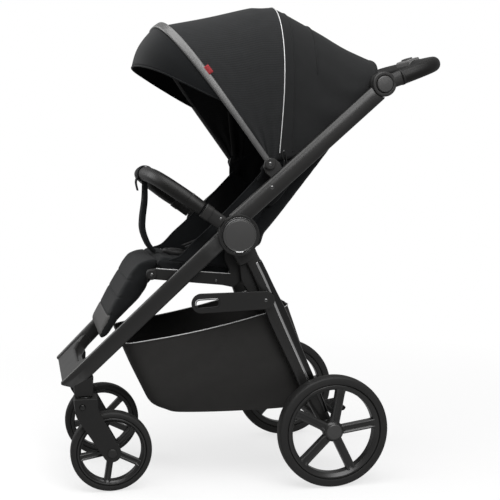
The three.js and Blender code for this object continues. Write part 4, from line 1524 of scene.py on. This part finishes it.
# ---------------------------------------------------------------- seat
@dataclass
class Seat:
    """Seat pad, backrest, leg rest, cloth sides, harness and crotch pad."""

    pad_half: float = 156
    leg_half: float = 138
    back_low: Flat = (-183, 652)
    back_high: Flat = (40, 930)

    def build(self) -> None:
        """Builds and dresses every piece."""
        self.backrest()
        self.pad()
        self.leg_rest()
        for name, side in SIDES:
            self.wing(name, side)
            self.shoulder_strap(name, side)
        self.crotch_pad()

    def back_place(self, spot: Vector) -> Flat:
        """Distances of a point up the backrest's front and out from it."""
        low, high = Vector(self.back_low), Vector(self.back_high)
        along = (high - low).normalized()
        away = Vector((-along.y, along.x))
        flat = Vector((spot.y, spot.z)) - low
        return flat.dot(along), flat.dot(away)

    def backrest(self) -> None:
        """Stuffed backrest with sewn channels."""
        outline = rounded([(-170, 578, 8), (-161, 598, 20), (-150, 622, 30), (43, 864, 20), (82, 914, 8), (80, 922, 4),
                           (54, 934, 8), (40, 924, 10), (-177, 652, 24), (-196, 614, 20), (-198, 590, 14),
                           (-190, 578, 8)])
        pad = plate("backrest_pad", outline, -self.pad_half + 7, self.pad_half - 7)
        inflate(pad, 7)

        def depth(spot: Vector, normal: Vector) -> float:
            up, _ = self.back_place(spot)
            if normal.y > 0.1:
                return 0
            ends = ramp(up, 0, 30) * (1 - ramp(up, 310, 340))
            side_seams = sum(bell(abs(spot.x) - x, 2.4) for x in (78,))
            cross = sum(bell(up - k, 2.4) for k in (95, 190, 285)) * (1 - ramp(abs(spot.x), 74, 80))
            return 3.6 * ends * min(side_seams + cross, 1)

        dress(shade(sew(pad, depth), 80), SEAT_CLOTH, "seat_back", "backrest")

    def pad(self) -> None:
        """Seat cushion with cross seams."""
        outline = rounded([(-424, 558, 6), (-416, 549, 6), (-407, 540, 6), (-403, 534, 6), (-228, 517, 8),
                           (-214, 522, 8), (-214, 541, 8), (-300, 546, 60), (-398, 561, 20), (-418, 566, 8)])
        pad = plate("seat_cushion", outline, -self.pad_half, self.pad_half)
        inflate(pad, 6, voxel=5)

        def depth(spot: Vector, normal: Vector) -> float:
            if normal.z < 0.2:
                return 0
            return 2.6 * min(sum(bell(spot.y - y, 2.4) for y in (-372, -316, -262)), 1)

        dress(shade(sew(pad, depth), 80), SEAT_CLOTH, "root", "seat_pad")

    def leg_rest(self) -> None:
        """Quilted leg rest, bent over the knee, with a lighter foot patch."""
        outline = rounded([(-412, 566, 6), (-432, 564, 20), (-456, 554, 24), (-474, 532, 30), (-514, 464, 60),
                           (-561, 378, 10), (-557, 366, 8), (-545, 374, 8), (-514, 416, 40), (-464, 466, 40),
                           (-442, 496, 20), (-434, 530, 16), (-412, 546, 6)])
        pad = plate("leg_rest_pad", outline, -self.leg_half + 4, self.leg_half - 4)
        inflate(pad, 4, voxel=5)

        def depth(spot: Vector, normal: Vector) -> float:
            if normal.y > -0.2:
                return 0
            seams = sum(bell(spot.z - z, 1.8) for z in (512, 470, 428))
            return 1.8 * min(seams, 1) * (1 - ramp(abs(spot.x), 126, 133))

        shade(sew(pad, depth), 80)
        dress(pad, LEG_CLOTH, None, "leg_rest")
        pad.data.materials.append(FOOT_PATCH.material())
        for face in pad.data.polygons:
            if face.center.z / MM < 426 and face.normal.y < -0.4:
                face.material_index = 1
        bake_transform(pad)

    def wing(self, name: str, side: int) -> None:
        """Gathered cloth side between the seat and the canopy."""
        front = smooth_line([(-392, 562), (-364, 572), (-332, 604), (-296, 636), (-236, 694), (-164, 768)], 40)
        rear = smooth_line([(-236, 540), (-222, 556), (-204, 592), (-190, 626), (-168, 664), (-122, 736)], 40)
        grid = []
        rows = 22
        for i in range(rows + 1):
            share = i / rows
            row = []
            for j, (a, b) in enumerate(zip(front, rear)):
                spot = a.lerp(b, share)
                up = j / 40
                fold = 3.4 * math.sin(up * 15 + share * 5) * math.sin(math.pi * share) * math.sin(math.pi * up)
                belly = -5 * math.sin(math.pi * share) * math.sin(math.pi * up)
                row.append(Vector(((162.5 + fold * 0.6 + belly) * side, spot.x, spot.y)))
            grid.append(row)
        obj = cloth_sheet(f"seat_wing_cloth_{name}", grid, 2.0)
        dress(obj, SEAT_CLOTH, "root", f"seat_wing_{name}", cloth=side_place)
        hem = thread_line(f"seat_wing_hem_{name}", grid[0], 2.2, SEAT_CLOTH, "root")
        hang(obj, grid)

    def shoulder_strap(self, name: str, side: int) -> None:
        """Webbing strap down the backrest with its shoulder pad."""
        low, high = Vector(self.back_low), Vector(self.back_high)
        along = (high - low).normalized()
        away = Vector((-along.y, along.x))

        def spot(up: float, out: float, x: float) -> Vector:
            flat = low + along * up + away * out
            return Vector((x * side, flat.x, flat.y))

        path = smooth_line([spot(300, 2, 46), spot(280, 15, 46), spot(200, 16, 48), (50 * side, -190, 672),
                            (40 * side, -250, 612), (22 * side, -330, 580)], 60)
        web = sweep(f"harness_web_{name}", path, lambda share: oval(24, 2.2, 20, 0.5))
        dress(shade(web, 60), WEBBING, "seat_back")
        pad_path = smooth_line([spot(280, 18, 46), spot(215, 20, 47), spot(140, 19, 49)], 30)
        padding = sweep(f"harness_pad_{name}", pad_path,
                        lambda share: oval(44, 11, 36, 0.7), soft_end=6)
        dress(shade(padding, 60), SEAT_CLOTH, "seat_back")

    def crotch_pad(self) -> None:
        """Round buckle pad on the seat."""
        y, z = -352, 566
        turn = math.radians(12)
        rings = []
        for radius, height in ((0.5, 9), (12, 9), (17, 8.6), (20.5, 6.4), (21.6, 3), (23, 3), (26, 6), (30, 6.5),
                               (33, 4), (34, 0), (33, -4), (0.5, -4)):
            ring = []
            for k in range(48):
                a = 2 * math.pi * k / 48
                u, v = radius * math.cos(a), radius * math.sin(a)
                ring.append((u, y + v * math.cos(turn) + height * math.sin(turn),
                             z - v * math.sin(turn) * 0.6 + height * math.cos(turn)))
            rings.append(ring)
        dress(shade(loft("crotch_buckle", rings), 60), MOULDING, "root")


# ---------------------------------------------------------------- bumper bar
@dataclass
class BumperBar:
    """Leather-covered bar in front of the seat, its arms and the crotch strap."""

    body: str = "bumper"
    angle: float = 144
    radius: float = 18.2
    half: tuple[Flat, ...] = ((233, 107), (226, 140), (211, 176), (186, 207), (145, 228), (80, 237))
    reach: float = 239

    def build(self) -> None:
        """Builds and dresses every piece."""
        for name, side in SIDES:
            self.arm(name, side)
        self.bar()
        self.strap()

    def spot(self, x: float, reach: float) -> Vector:
        """Point of the bar's plane."""
        return Vector((x, *polar(HUB, self.angle, reach)))

    def normal(self) -> tuple[float, float, float]:
        """Direction square to the bar's plane."""
        turn = math.radians(self.angle)
        return 0, -math.sin(turn), math.cos(turn)

    def arm(self, name: str, side: int) -> None:
        """Arm from the hub, with the sleeve that joins the bar."""
        path = even_line([self.spot(237 * side, 50.5), self.spot(235.5 * side, 96)], 8)
        bar = sweep(f"bumper_arm_shell_{name}", path, lambda share: oval(15, 34, 36, 0.62), soft_end=1.2)
        dress(shade(bar), MOULDING, self.body, f"bumper_arm_{name}")
        sleeve_path = even_line([self.spot(236 * side, 84), self.spot(234.5 * side, 104)], 6)
        sleeve = sweep(f"bumper_sleeve_{name}", sleeve_path,
                       lambda share: oval(21 + 6 * share, 36.6, 36, 0.75), soft_end=1.6)
        dress(shade(sleeve), LIGHT_MOULDING, self.body)
        screw(f"bumper_screw_{name}", 244.2, polar(HUB, self.angle - 6, 60), side, 3.6, self.body)
        stud = turned(f"bumper_stud_{name}", [(0, 230), (3.2, 230), (3.2, 236.8), (2.4, 238), (0, 238.4)],
                      *polar(HUB, self.angle - 6, 145), side=side, segments=28)
        dress(soft_edges(stud, 0.4, 2), SCREW, self.body)

    def bar(self) -> None:
        """Padded bar and its seams."""
        points = [self.spot(x, r) for x, r in self.half] + [self.spot(0, self.reach)]
        points += [self.spot(-x, r) for x, r in reversed(self.half)]
        path = smooth_line(points, 110)
        swell = self.radius

        def section(share: float) -> list[Flat]:
            near_end = min(share, 1 - share)
            size = swell * (0.93 + 0.07 * ramp(near_end, 0.0, 0.05))
            return oval(2 * size, 2 * size, 40, 0.95)

        cover = sweep("bumper_cover", path, section, self.normal(), soft_end=3)
        dress(shade(cover, 60), LEATHER, self.body, "bumper_bar")
        normal = Vector(self.normal())
        seam = []
        for i, here in enumerate(path):
            along = (path[min(i + 1, 110)] - path[max(i - 1, 0)]).normalized()
            inward = along.cross(normal)
            seam.append(here - inward * (swell - 0.3))
        thread_line("bumper_cover_seam", seam[4:-4], 0.9, LEATHER, self.body, self.normal())
        for name, index in (("left", 7), ("right", 103)):
            here, ahead = path[index], path[index + 1]
            along = (ahead - here).normalized()
            rings = []
            for k in range(40):
                turn = 2 * math.pi * k / 40
                out = normal * math.cos(turn) + along.cross(normal) * math.sin(turn)
                rings.append([here + out * (swell - 0.2 + b) + along * a for a, b in oval(2.2, 1.6, 10, 1.0)])
            dress(shade(loft(f"bumper_band_{name}", rings, close=True), 60), LEATHER, self.body)

    def strap(self) -> None:
        """Crotch strap, wrapped round the bar and hanging to the seat."""
        centre = Vector(polar(HUB, self.angle, self.reach))
        wrap = []
        for k in range(37):
            wrap.append(polar((centre.x, centre.y), 20 + 10 * k, 20.4))
        rings = []
        for i in range(len(wrap) - 1):
            out = (Vector(wrap[i]) - centre).normalized()
            rings.append([Vector((a, *(Vector(wrap[i]) + out * b))) for a, b in oval(38, 2.4, 20, 0.4)])
        band = loft("strap_wrap", rings, close=True)
        dress(shade(band, 60), SEAT_CLOTH, self.body)
        flap_line = smooth_line([(centre.x - 20, centre.y - 8), (centre.x - 23, centre.y - 22),
                                 (centre.x - 19, centre.y - 42)], 12)
        flap = sweep("strap_flap", [Vector((0, p.x, p.y)) for p in flap_line],
                     lambda share: oval(36 - 6 * share, 3.4, 24, 0.5), soft_end=1.6)
        dress(shade(flap, 60), SEAT_CLOTH, self.body)
        line = smooth_line([(-429, 749), (-430, 702), (-436, 655), (-436, 624), (-424, 590), (-408, 569)], 60)
        strap = sweep("crotch_strap_pad", [Vector((0, p.x, p.y)) for p in line],
                      lambda share: oval(42 + 12 * ramp(share, 0.4, 1), 12 + 4 * math.sin(math.pi * share), 36, 0.6),
                      soft_end=4)
        dress(shade(strap, 60), SEAT_CLOTH, self.body, "crotch_strap")
        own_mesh(strap)


# ---------------------------------------------------------------- basket
@dataclass
class Basket:
    """Cloth tub under the seat, with its piped rim and mesh rear wall."""

    front_half: float = 152
    rear_half: float = 171
    front: tuple[Flat, ...] = ((-500, 356), (-478, 300), (-452, 240), (-432, 206), (-395, 188))
    rear: tuple[Flat, ...] = ((-92, 440), (-62, 352), (-35, 268), (-17, 214), (-34, 190))
    levels: int = 34
    corner: float = 34

    def ring(self, share: float, inset: float = 0.0) -> list[Vector]:
        """Outline of the tub at a share of its depth, 0 at the rim."""
        count = self.levels
        front = smooth_line(self.front, count)[round(share * count)]
        rear = smooth_line(self.rear, count)[round(share * count)]
        low = ramp(share, 0.55, 1.0)
        corners = []
        for end, y_half, turn in ((rear, self.rear_half, 1), (front, self.front_half, -1)):
            half = y_half - 9 * low - inset
            for side in (1, -1):
                corners.append((half * side * turn, end.x - turn * inset, self.corner))
        flat = rounded(corners, 10)
        outline = even_line([Vector((*p, 0)) for p in [*flat, flat[0]]], 160)[:-1]
        length = rear.x - front.x
        ring = []
        for p in outline:
            along = (p.y - front.x) / length
            height = front.y + (rear.y - front.y) * along
            dip = 10 * (1 - share) ** 3 * math.sin(math.pi * min(max(along, 0), 1))
            side_wall = ramp(abs(p.x), 110, 150)
            bulge = 1 + 0.022 * math.sin(math.pi * share) * side_wall
            crease = 1.3 * math.sin(share * 9 + along * 7) * math.sin(math.pi * share) * side_wall
            belly = 8 * ramp(share, 0.5, 1.0) * math.sin(math.pi * min(max(along, 0), 1)) ** 0.5
            ring.append(Vector((p.x * bulge + math.copysign(crease, p.x), p.y, height - dip - belly)))
        return ring

    def build(self) -> None:
        """Builds and dresses every piece."""
        rings = [self.ring(k / self.levels) for k in range(self.levels + 1)]
        floor = []
        centre = sum(rings[-1], Vector()) / len(rings[-1])
        for share in (0.93, 0.8, 0.6, 0.35, 0.12):
            floor.append([centre + (p - centre) * share + Vector((0, 0, -3.0 * (1 - share))) for p in rings[-1]])
        skins = [*rings, *floor]
        columns = len(rings[0])
        points = [p for ring in skins for p in ring]
        faces = grid_faces(len(skins), columns, around=True)
        faces.append(tuple(range(len(points) - columns, len(points))))
        obj = make_mesh("basket_tub", points, faces)
        solid = obj.modifiers.new("thickness", "SOLIDIFY")
        solid.thickness = 3 * MM
        solid.offset = 0
        settle(obj)
        lay_cloth(obj, lambda co: (co.x + co.y, co.z * 1.0))
        dress(shade(obj, 60), BASKET_CLOTH, "root", "basket")
        obj.data.materials.append(BASKET_MESH.material())
        for face in obj.data.polygons:
            y = face.center.y / MM - AXLE_Y
            z = face.center.z / MM
            edge_y = -92 + (440 - z) * 0.333
            if y > edge_y - 14 and abs(face.center.x) < 0.150 and 232 < z < 420:
                face.material_index = 1
        rim_rings = []
        rim = rings[0]
        for i, here in enumerate(rim):
            along = (rim[(i + 1) % columns] - rim[i - 1]).normalized()
            out = along.cross(Vector((0, 0, 1))).normalized()
            up = out.cross(along)
            rim_rings.append([here + out * a + up * b for a, b in oval(4.4, 7, 12, 0.8)])
        hem = loft("basket_rim", rim_rings, close=True)
        dress(shade(hem, 60), BASKET_CLOTH, "root")
        cord_rings = []
        for i, here in enumerate(rim):
            along = (rim[(i + 1) % columns] - rim[i - 1]).normalized()
            away = (here - centre)
            away.z = 0
            out = (away - along * away.dot(along)).normalized()
            spot = here + out * 2.0 + Vector((0, 0, 3.4))
            up = out.cross(along)
            cord_rings.append([spot + out * a + up * b for a, b in oval(2.2, 2.2, 8, 1.0)])
        piping = loft("basket_piping", cord_rings, close=True)
        dress(shade(piping, 60), PIPING, "root")
        # The area is the finished mesh's own, so it agrees with the mesh for any shape; it and the sizes and share
        # below are worked out but not used. The declared area is the finished mesh's own, so a test of one against
        # the other passes for any shape.
        area = sum(face.area for face in obj.data.polygons) / 2
        side_drop, floor_length, end_drop = 230, 420, 190
        width = 2 * self.rear_half + 2 * side_drop
        length = floor_length + 2 * end_drop
        share = min(max(area / (width * length * MM * MM), 0.3), 1.0)
        for name, side in SIDES:
            self.tabs(name, side)

    def tabs(self, name: str, side: int) -> None:
        """Webbing tabs that hold the rim to the frame."""
        x = (self.rear_half - 2) * side
        path = even_line([Vector((x, -118, 430)), Vector((x + 5 * side, -114, 456))], 6)
        strip = sweep(f"basket_tab_{name}_0", path, lambda share: oval(2.4, 16, 16, 0.4), soft_end=0.8)
        dress(shade(strip, 60), WEBBING, "root")


# ---------------------------------------------------------------- wheels
@dataclass
class Wheel:
    """One wheel: tyre, rim ring, channelled spokes, hub and cap."""

    name: str
    side: int
    body: str
    y: float
    z: float
    x: float
    tyre_radius: float
    width: float
    rim_outer: float
    rim_inner: float
    hub_radius: float
    spoke_width: float
    first_spoke: float
    spokes: int = 5

    def build(self, tyre_node: str, rim_node: str) -> None:
        """Builds and dresses the tyre and the rim."""
        tyre = turned(f"{self.name}_tyre", self.tyre_profile(), self.y, self.z, self.side, 128)
        dress(shade(tyre, 40), TYRE, self.body, tyre_node)
        rim = joined(f"{self.name}_rim", [self.ring(), self.hub(), *[self.spoke(k) for k in range(self.spokes)]])
        dress(rim, WHEEL, self.body, rim_node)
        cap_radius = self.hub_radius * 1.02
        outer = self.x + self.width / 2 - 1.2
        profile = [(0, outer - 6), (cap_radius, outer - 6), (cap_radius, outer - 1.8), (cap_radius * 0.88, outer),
                   (cap_radius * 0.4, outer + 1.2), (0, outer + 1.6)]
        cap = turned(f"{self.name}_cap", profile, self.y, self.z, self.side, 56)
        dress(soft_edges(cap, 0.5, 2), CAP, self.body)

    def tyre_profile(self) -> list[Flat]:
        """Closed section of the tyre."""
        outer, inner, half = self.tyre_radius, self.rim_outer, self.width / 2
        shape = [(inner, -half * 0.80), (inner + 1.5, -half * 0.96), (inner + 4, -half), (outer - 6, -half * 0.99),
                 (outer - 2.6, -half * 0.88), (outer - 0.9, -half * 0.66), (outer - 0.2, -half * 0.36), (outer, 0)]
        whole = shape + [(r, -x) for r, x in reversed(shape[:-1])]
        return [(r, self.x + x) for r, x in whole]

    def ring(self) -> Mesh:
        """Ring of the rim, stepped where the tyre sits."""
        a, b, half = self.rim_inner, self.rim_outer, self.width / 2
        profile = [(a + 2.5, -half * 0.80), (b - 2, -half * 0.84), (b + 0.6, -half * 0.74), (b + 0.6, half * 0.74),
                   (b - 2, half * 0.90), (b - 5, half * 0.90), (a + 4, half * 0.72), (a, half * 0.55),
                   (a, -half * 0.6)]
        return soft_edges(turned("ring", [(r, self.x + x) for r, x in profile], self.y, self.z, self.side, 128), 0.9)

    def hub(self) -> Mesh:
        """Hub drum with its flange."""
        r, half = self.hub_radius, self.width / 2
        profile = [(7.2, -half), (r * 0.8, -half), (r, -half * 0.6), (r * 1.35, -half * 0.3), (r * 1.35, half * 0.45),
                   (r * 1.15, half * 0.72), (r, half * 0.8), (7.2, half * 0.8)]
        return soft_edges(turned("drum", [(q, self.x + x) for q, x in profile], self.y, self.z, self.side, 64), 0.9)

    def spoke(self, index: int) -> Mesh:
        """One spoke with a channel in its outer face."""
        turn = math.radians(self.first_spoke + 360 / self.spokes * index)
        out = Vector((0, math.cos(turn), math.sin(turn)))
        across = Vector((0, -math.sin(turn), math.cos(turn)))
        start, end = self.hub_radius * 0.9, self.rim_inner + 3
        steps = 16
        rings = []
        for k in range(steps + 1):
            share = k / steps
            reach = start + (end - start) * share
            flare = 1 + 0.10 * ramp(share, 0.85, 1.0)
            half = self.spoke_width / 2 * flare
            face = self.width / 2 * (0.62 + 0.08 * share)
            back = -self.width / 2 * 0.30
            depth = 4.0 * ramp(share, 0.02, 0.12) * (1 - ramp(share, 0.92, 0.99))
            lip = half * 0.40
            section = [(-half, back), (-half, face - 1.6), (-half + 1.6, face), (-lip - 2, face),
                       (-lip, face - depth), (lip, face - depth), (lip + 2, face), (half - 1.6, face),
                       (half, face - 1.6), (half, back)]
            section = [(a, b) for a, b in section]
            rings.append([Vector((self.x + b, self.y, self.z)) + out * reach + across * a for a, b in section])
        for ring in rings:
            for p in ring:
                p.x *= self.side
        return soft_edges(loft("spoke", rings), 0.0)


@dataclass
class Caster:
    """Swivelling fork of a front wheel, with its lock."""

    name: str
    side: int
    x: float = 150
    half_width: float = 29
    arm_inner: float = 20
    top: float = 235.5
    wheel_y: float = -535
    wheel_z: float = 99
    room: float = 108
    stem_y: float = -597

    def build(self) -> None:
        """Builds and dresses the fork and its lock."""
        arc = [(*polar((self.wheel_y, self.wheel_z), 215 + 180 * k / 22, 22), 0) for k in range(23)]
        outline = rounded([(-624, self.top, 6), (-620, 194, 40), *arc, (-567, 206, 20), (-567, self.top, 6)])
        fork = plate("fork", outline, self.x - self.half_width, self.x + self.half_width, self.side)
        gap = turned("gap", [(0, self.x - self.arm_inner), (self.room, self.x - self.arm_inner),
                             (self.room, self.x + self.arm_inner), (0, self.x + self.arm_inner)],
                     self.wheel_y, self.wheel_z, self.side, 96)
        hole = turned("hole", [(0, self.x + 18), (7, self.x + 18), (7, self.x + 40), (0, self.x + 40)], -604, 216,
                      self.side, 40)
        cut_away(fork, gap, hole)
        soft_edges(fork, 2.6, 4)
        pin = turned("pin", [(0, self.x - 27), (5, self.x - 27), (5, self.x + 27), (0, self.x + 27)], self.wheel_y,
                     self.wheel_z, self.side, 32)
        shell = joined(f"caster_shell_{self.name}", [fork, shade(pin)])
        body = f"caster_{self.name}"
        dress(shell, MOULDING, body, f"caster_fork_{self.name}")
        for label, x, turn in (("outer", self.x + self.half_width, 1), ("inner", self.x - self.half_width, -1)):
            profile = [(0, x - 2 * turn), (11, x - 2 * turn), (11, x + 1.6 * turn), (9, x + 3 * turn),
                       (0, x + 3.4 * turn)]
            cap = turned(f"axle_cap_{label}_{self.name}", profile, self.wheel_y, self.wheel_z, self.side, 40)
            dress(soft_edges(cap, 0.6), LIGHT_MOULDING, body)
        collar = []
        for k in range(48):
            turn = 2 * math.pi * k / 48
            out = Vector((math.cos(turn), math.sin(turn), 0))
            centre = Vector((self.x * self.side, self.stem_y, 236))
            collar.append([centre + out * (17 + a) + Vector((0, 0, b)) for a, b in oval(3, 3.4, 10, 0.8)])
        dress(shade(loft(f"caster_collar_{self.name}", collar, close=True), 60), GLOSS_BLACK, body)
        outer = self.x + self.half_width
        face = [(0, outer - 5), (6.4, outer - 5), (6.4, outer + 1.8), (5.4, outer + 2.6), (0, outer + 2.8)]
        lock = turned(f"swivel_lock_key_{self.name}", face, -604, 216, self.side, 36)
        dress(soft_edges(lock, 0.4, 2), GLOSS_BLACK, f"swivel_button_{self.name}", f"swivel_lock_{self.name}")


# ---------------------------------------------------------------- studio
@dataclass
class Studio:
    """Camera, pale floor and soft lights."""

    eye: Point = (2.5413, -0.5516, 0.8259)
    look: Point = (-0.9704, 0.2201, -0.0992)
    lens: float = 72
    world: float = 0.30
    stage_near: float = 0.5
    stage_far: float = 2.0
    stage_share: float = 0.72

    def build(self) -> None:
        """Sets the scene up around the stroller."""
        scene = bpy.context.scene
        lens = bpy.data.cameras.new("camera")
        lens.lens, lens.sensor_width = self.lens, 36
        lens.clip_start, lens.clip_end = 0.05, 200
        camera = bpy.data.objects.new("camera", lens)
        camera.location = self.eye
        camera.rotation_euler = Vector(self.look).to_track_quat("-Z", "Y").to_euler()
        scene.collection.objects.link(camera)
        scene.camera = camera
        scene.view_settings.view_transform = "Standard"
        world = bpy.data.worlds.new("studio")
        world.use_nodes = True
        sky = world.node_tree.nodes["Background"]
        sky.inputs["Color"].default_value = (1, 1, 1, 1)
        bench = Bench(world.node_tree)
        seen = bench.node("LightPath").outputs["Is Camera Ray"]
        bench.feed(sky.inputs["Strength"], bench.math("MULTIPLY_ADD", seen, 1 - self.world, self.world))
        scene.world = world
        stage = [camera, self.floor()]
        stage.append(self.light("key", (0.5, -0.5, 2.6), 2.2, 55))
        stage.append(self.light("side", (2.3, 0.5, 2.3), 1.7, 48))
        stage.append(self.light("rear", (-1.6, -2.0, 1.9), 1.6, 26))

    def floor(self) -> Mesh:
        """Wide pale floor."""
        far = 30000
        obj = make_mesh("floor", [(-far, -far, 0), (far, -far, 0), (far, far, 0), (-far, far, 0)], [(0, 1, 2, 3)])
        material = bpy.data.materials.new("studio_floor")
        material.use_nodes = True
        shader = material.node_tree.nodes["Principled BSDF"]
        shader.inputs["Base Color"].default_value = (0.93, 0.93, 0.93, 1)
        shader.inputs["Roughness"].default_value = 0.9
        shader.inputs["Specular IOR Level"].default_value = 0.1
        bench = Bench(material.node_tree)
        glow = bench.node("Emission")
        glow.inputs["Color"].default_value = (1, 1, 1, 1)
        seen = bench.node("LightPath").outputs["Is Camera Ray"]
        bench.feed(glow.inputs["Strength"], bench.math("MULTIPLY_ADD", seen, 1 - self.world, self.world))
        away = bench.node("VectorMath", operation="LENGTH")
        bench.feed(away.inputs[0], bench.node("TexCoord").outputs["Object"])
        span = bench.node("MapRange", interpolation_type="SMOOTHSTEP")
        bench.feed(span.inputs["Value"], away.outputs["Value"])
        span.inputs["From Min"].default_value = self.stage_near
        span.inputs["From Max"].default_value = self.stage_far
        span.inputs["To Min"].default_value = self.stage_share
        blend = bench.node("MixShader")
        bench.feed(blend.inputs[0], span.outputs[0])
        bench.feed(blend.inputs[1], shader.outputs[0])
        bench.feed(blend.inputs[2], glow.outputs[0])
        bench.feed(material.node_tree.nodes["Material Output"].inputs["Surface"], blend.outputs[0])
        obj.data.materials.append(material)
        return obj

    def light(self, name: str, spot: Point, size: float, power: float) -> bpy.types.Object:
        """Adds a large soft light that faces the stroller."""
        lamp = bpy.data.lights.new(name, "AREA")
        lamp.size, lamp.energy = size, power
        obj = bpy.data.objects.new(name, lamp)
        obj.location = spot
        aim = Vector((0, 0, 0.6)) - Vector(spot)
        obj.rotation_euler = aim.to_track_quat("-Z", "Y").to_euler()
        bpy.context.scene.collection.objects.link(obj)
        return obj


def build_wheels() -> None:
    """Builds the four wheels and the two casters."""
    for name, side in SIDES:
        rear = middle(f"rear_tyre_{name}") / MM
        front = middle(f"front_tyre_{name}") / MM
        Wheel(f"rear_{name}", side, f"rear_wheel_{name}", 0, rear.z, abs(rear.x), 139, 38, 118, 104, 19, 21, 8
              ).build(f"rear_tyre_{name}", f"rear_rim_{name}")
        Wheel(f"front_{name}", side, f"front_wheel_{name}", front.y - AXLE_Y, front.z, abs(front.x), 99, 34, 84, 73, 16,
              15, 45).build(f"front_tyre_{name}", f"front_rim_{name}")
        Caster(name, side).build()


def main() -> None:
    """Builds the studio and every sub-assembly, and logs the size."""
    logging.basicConfig(level=logging.INFO, format="%(message)s")
    Studio().build()
    for part in (FrontFrame(), RearFrame(), HandleFrame(), PushHandle(), Canopy(), Seat(), BumperBar(), Basket()):
        LOG.info("building %s", type(part).__name__)
        part.build()
    build_wheels()


if __name__ == "__main__":
    main()
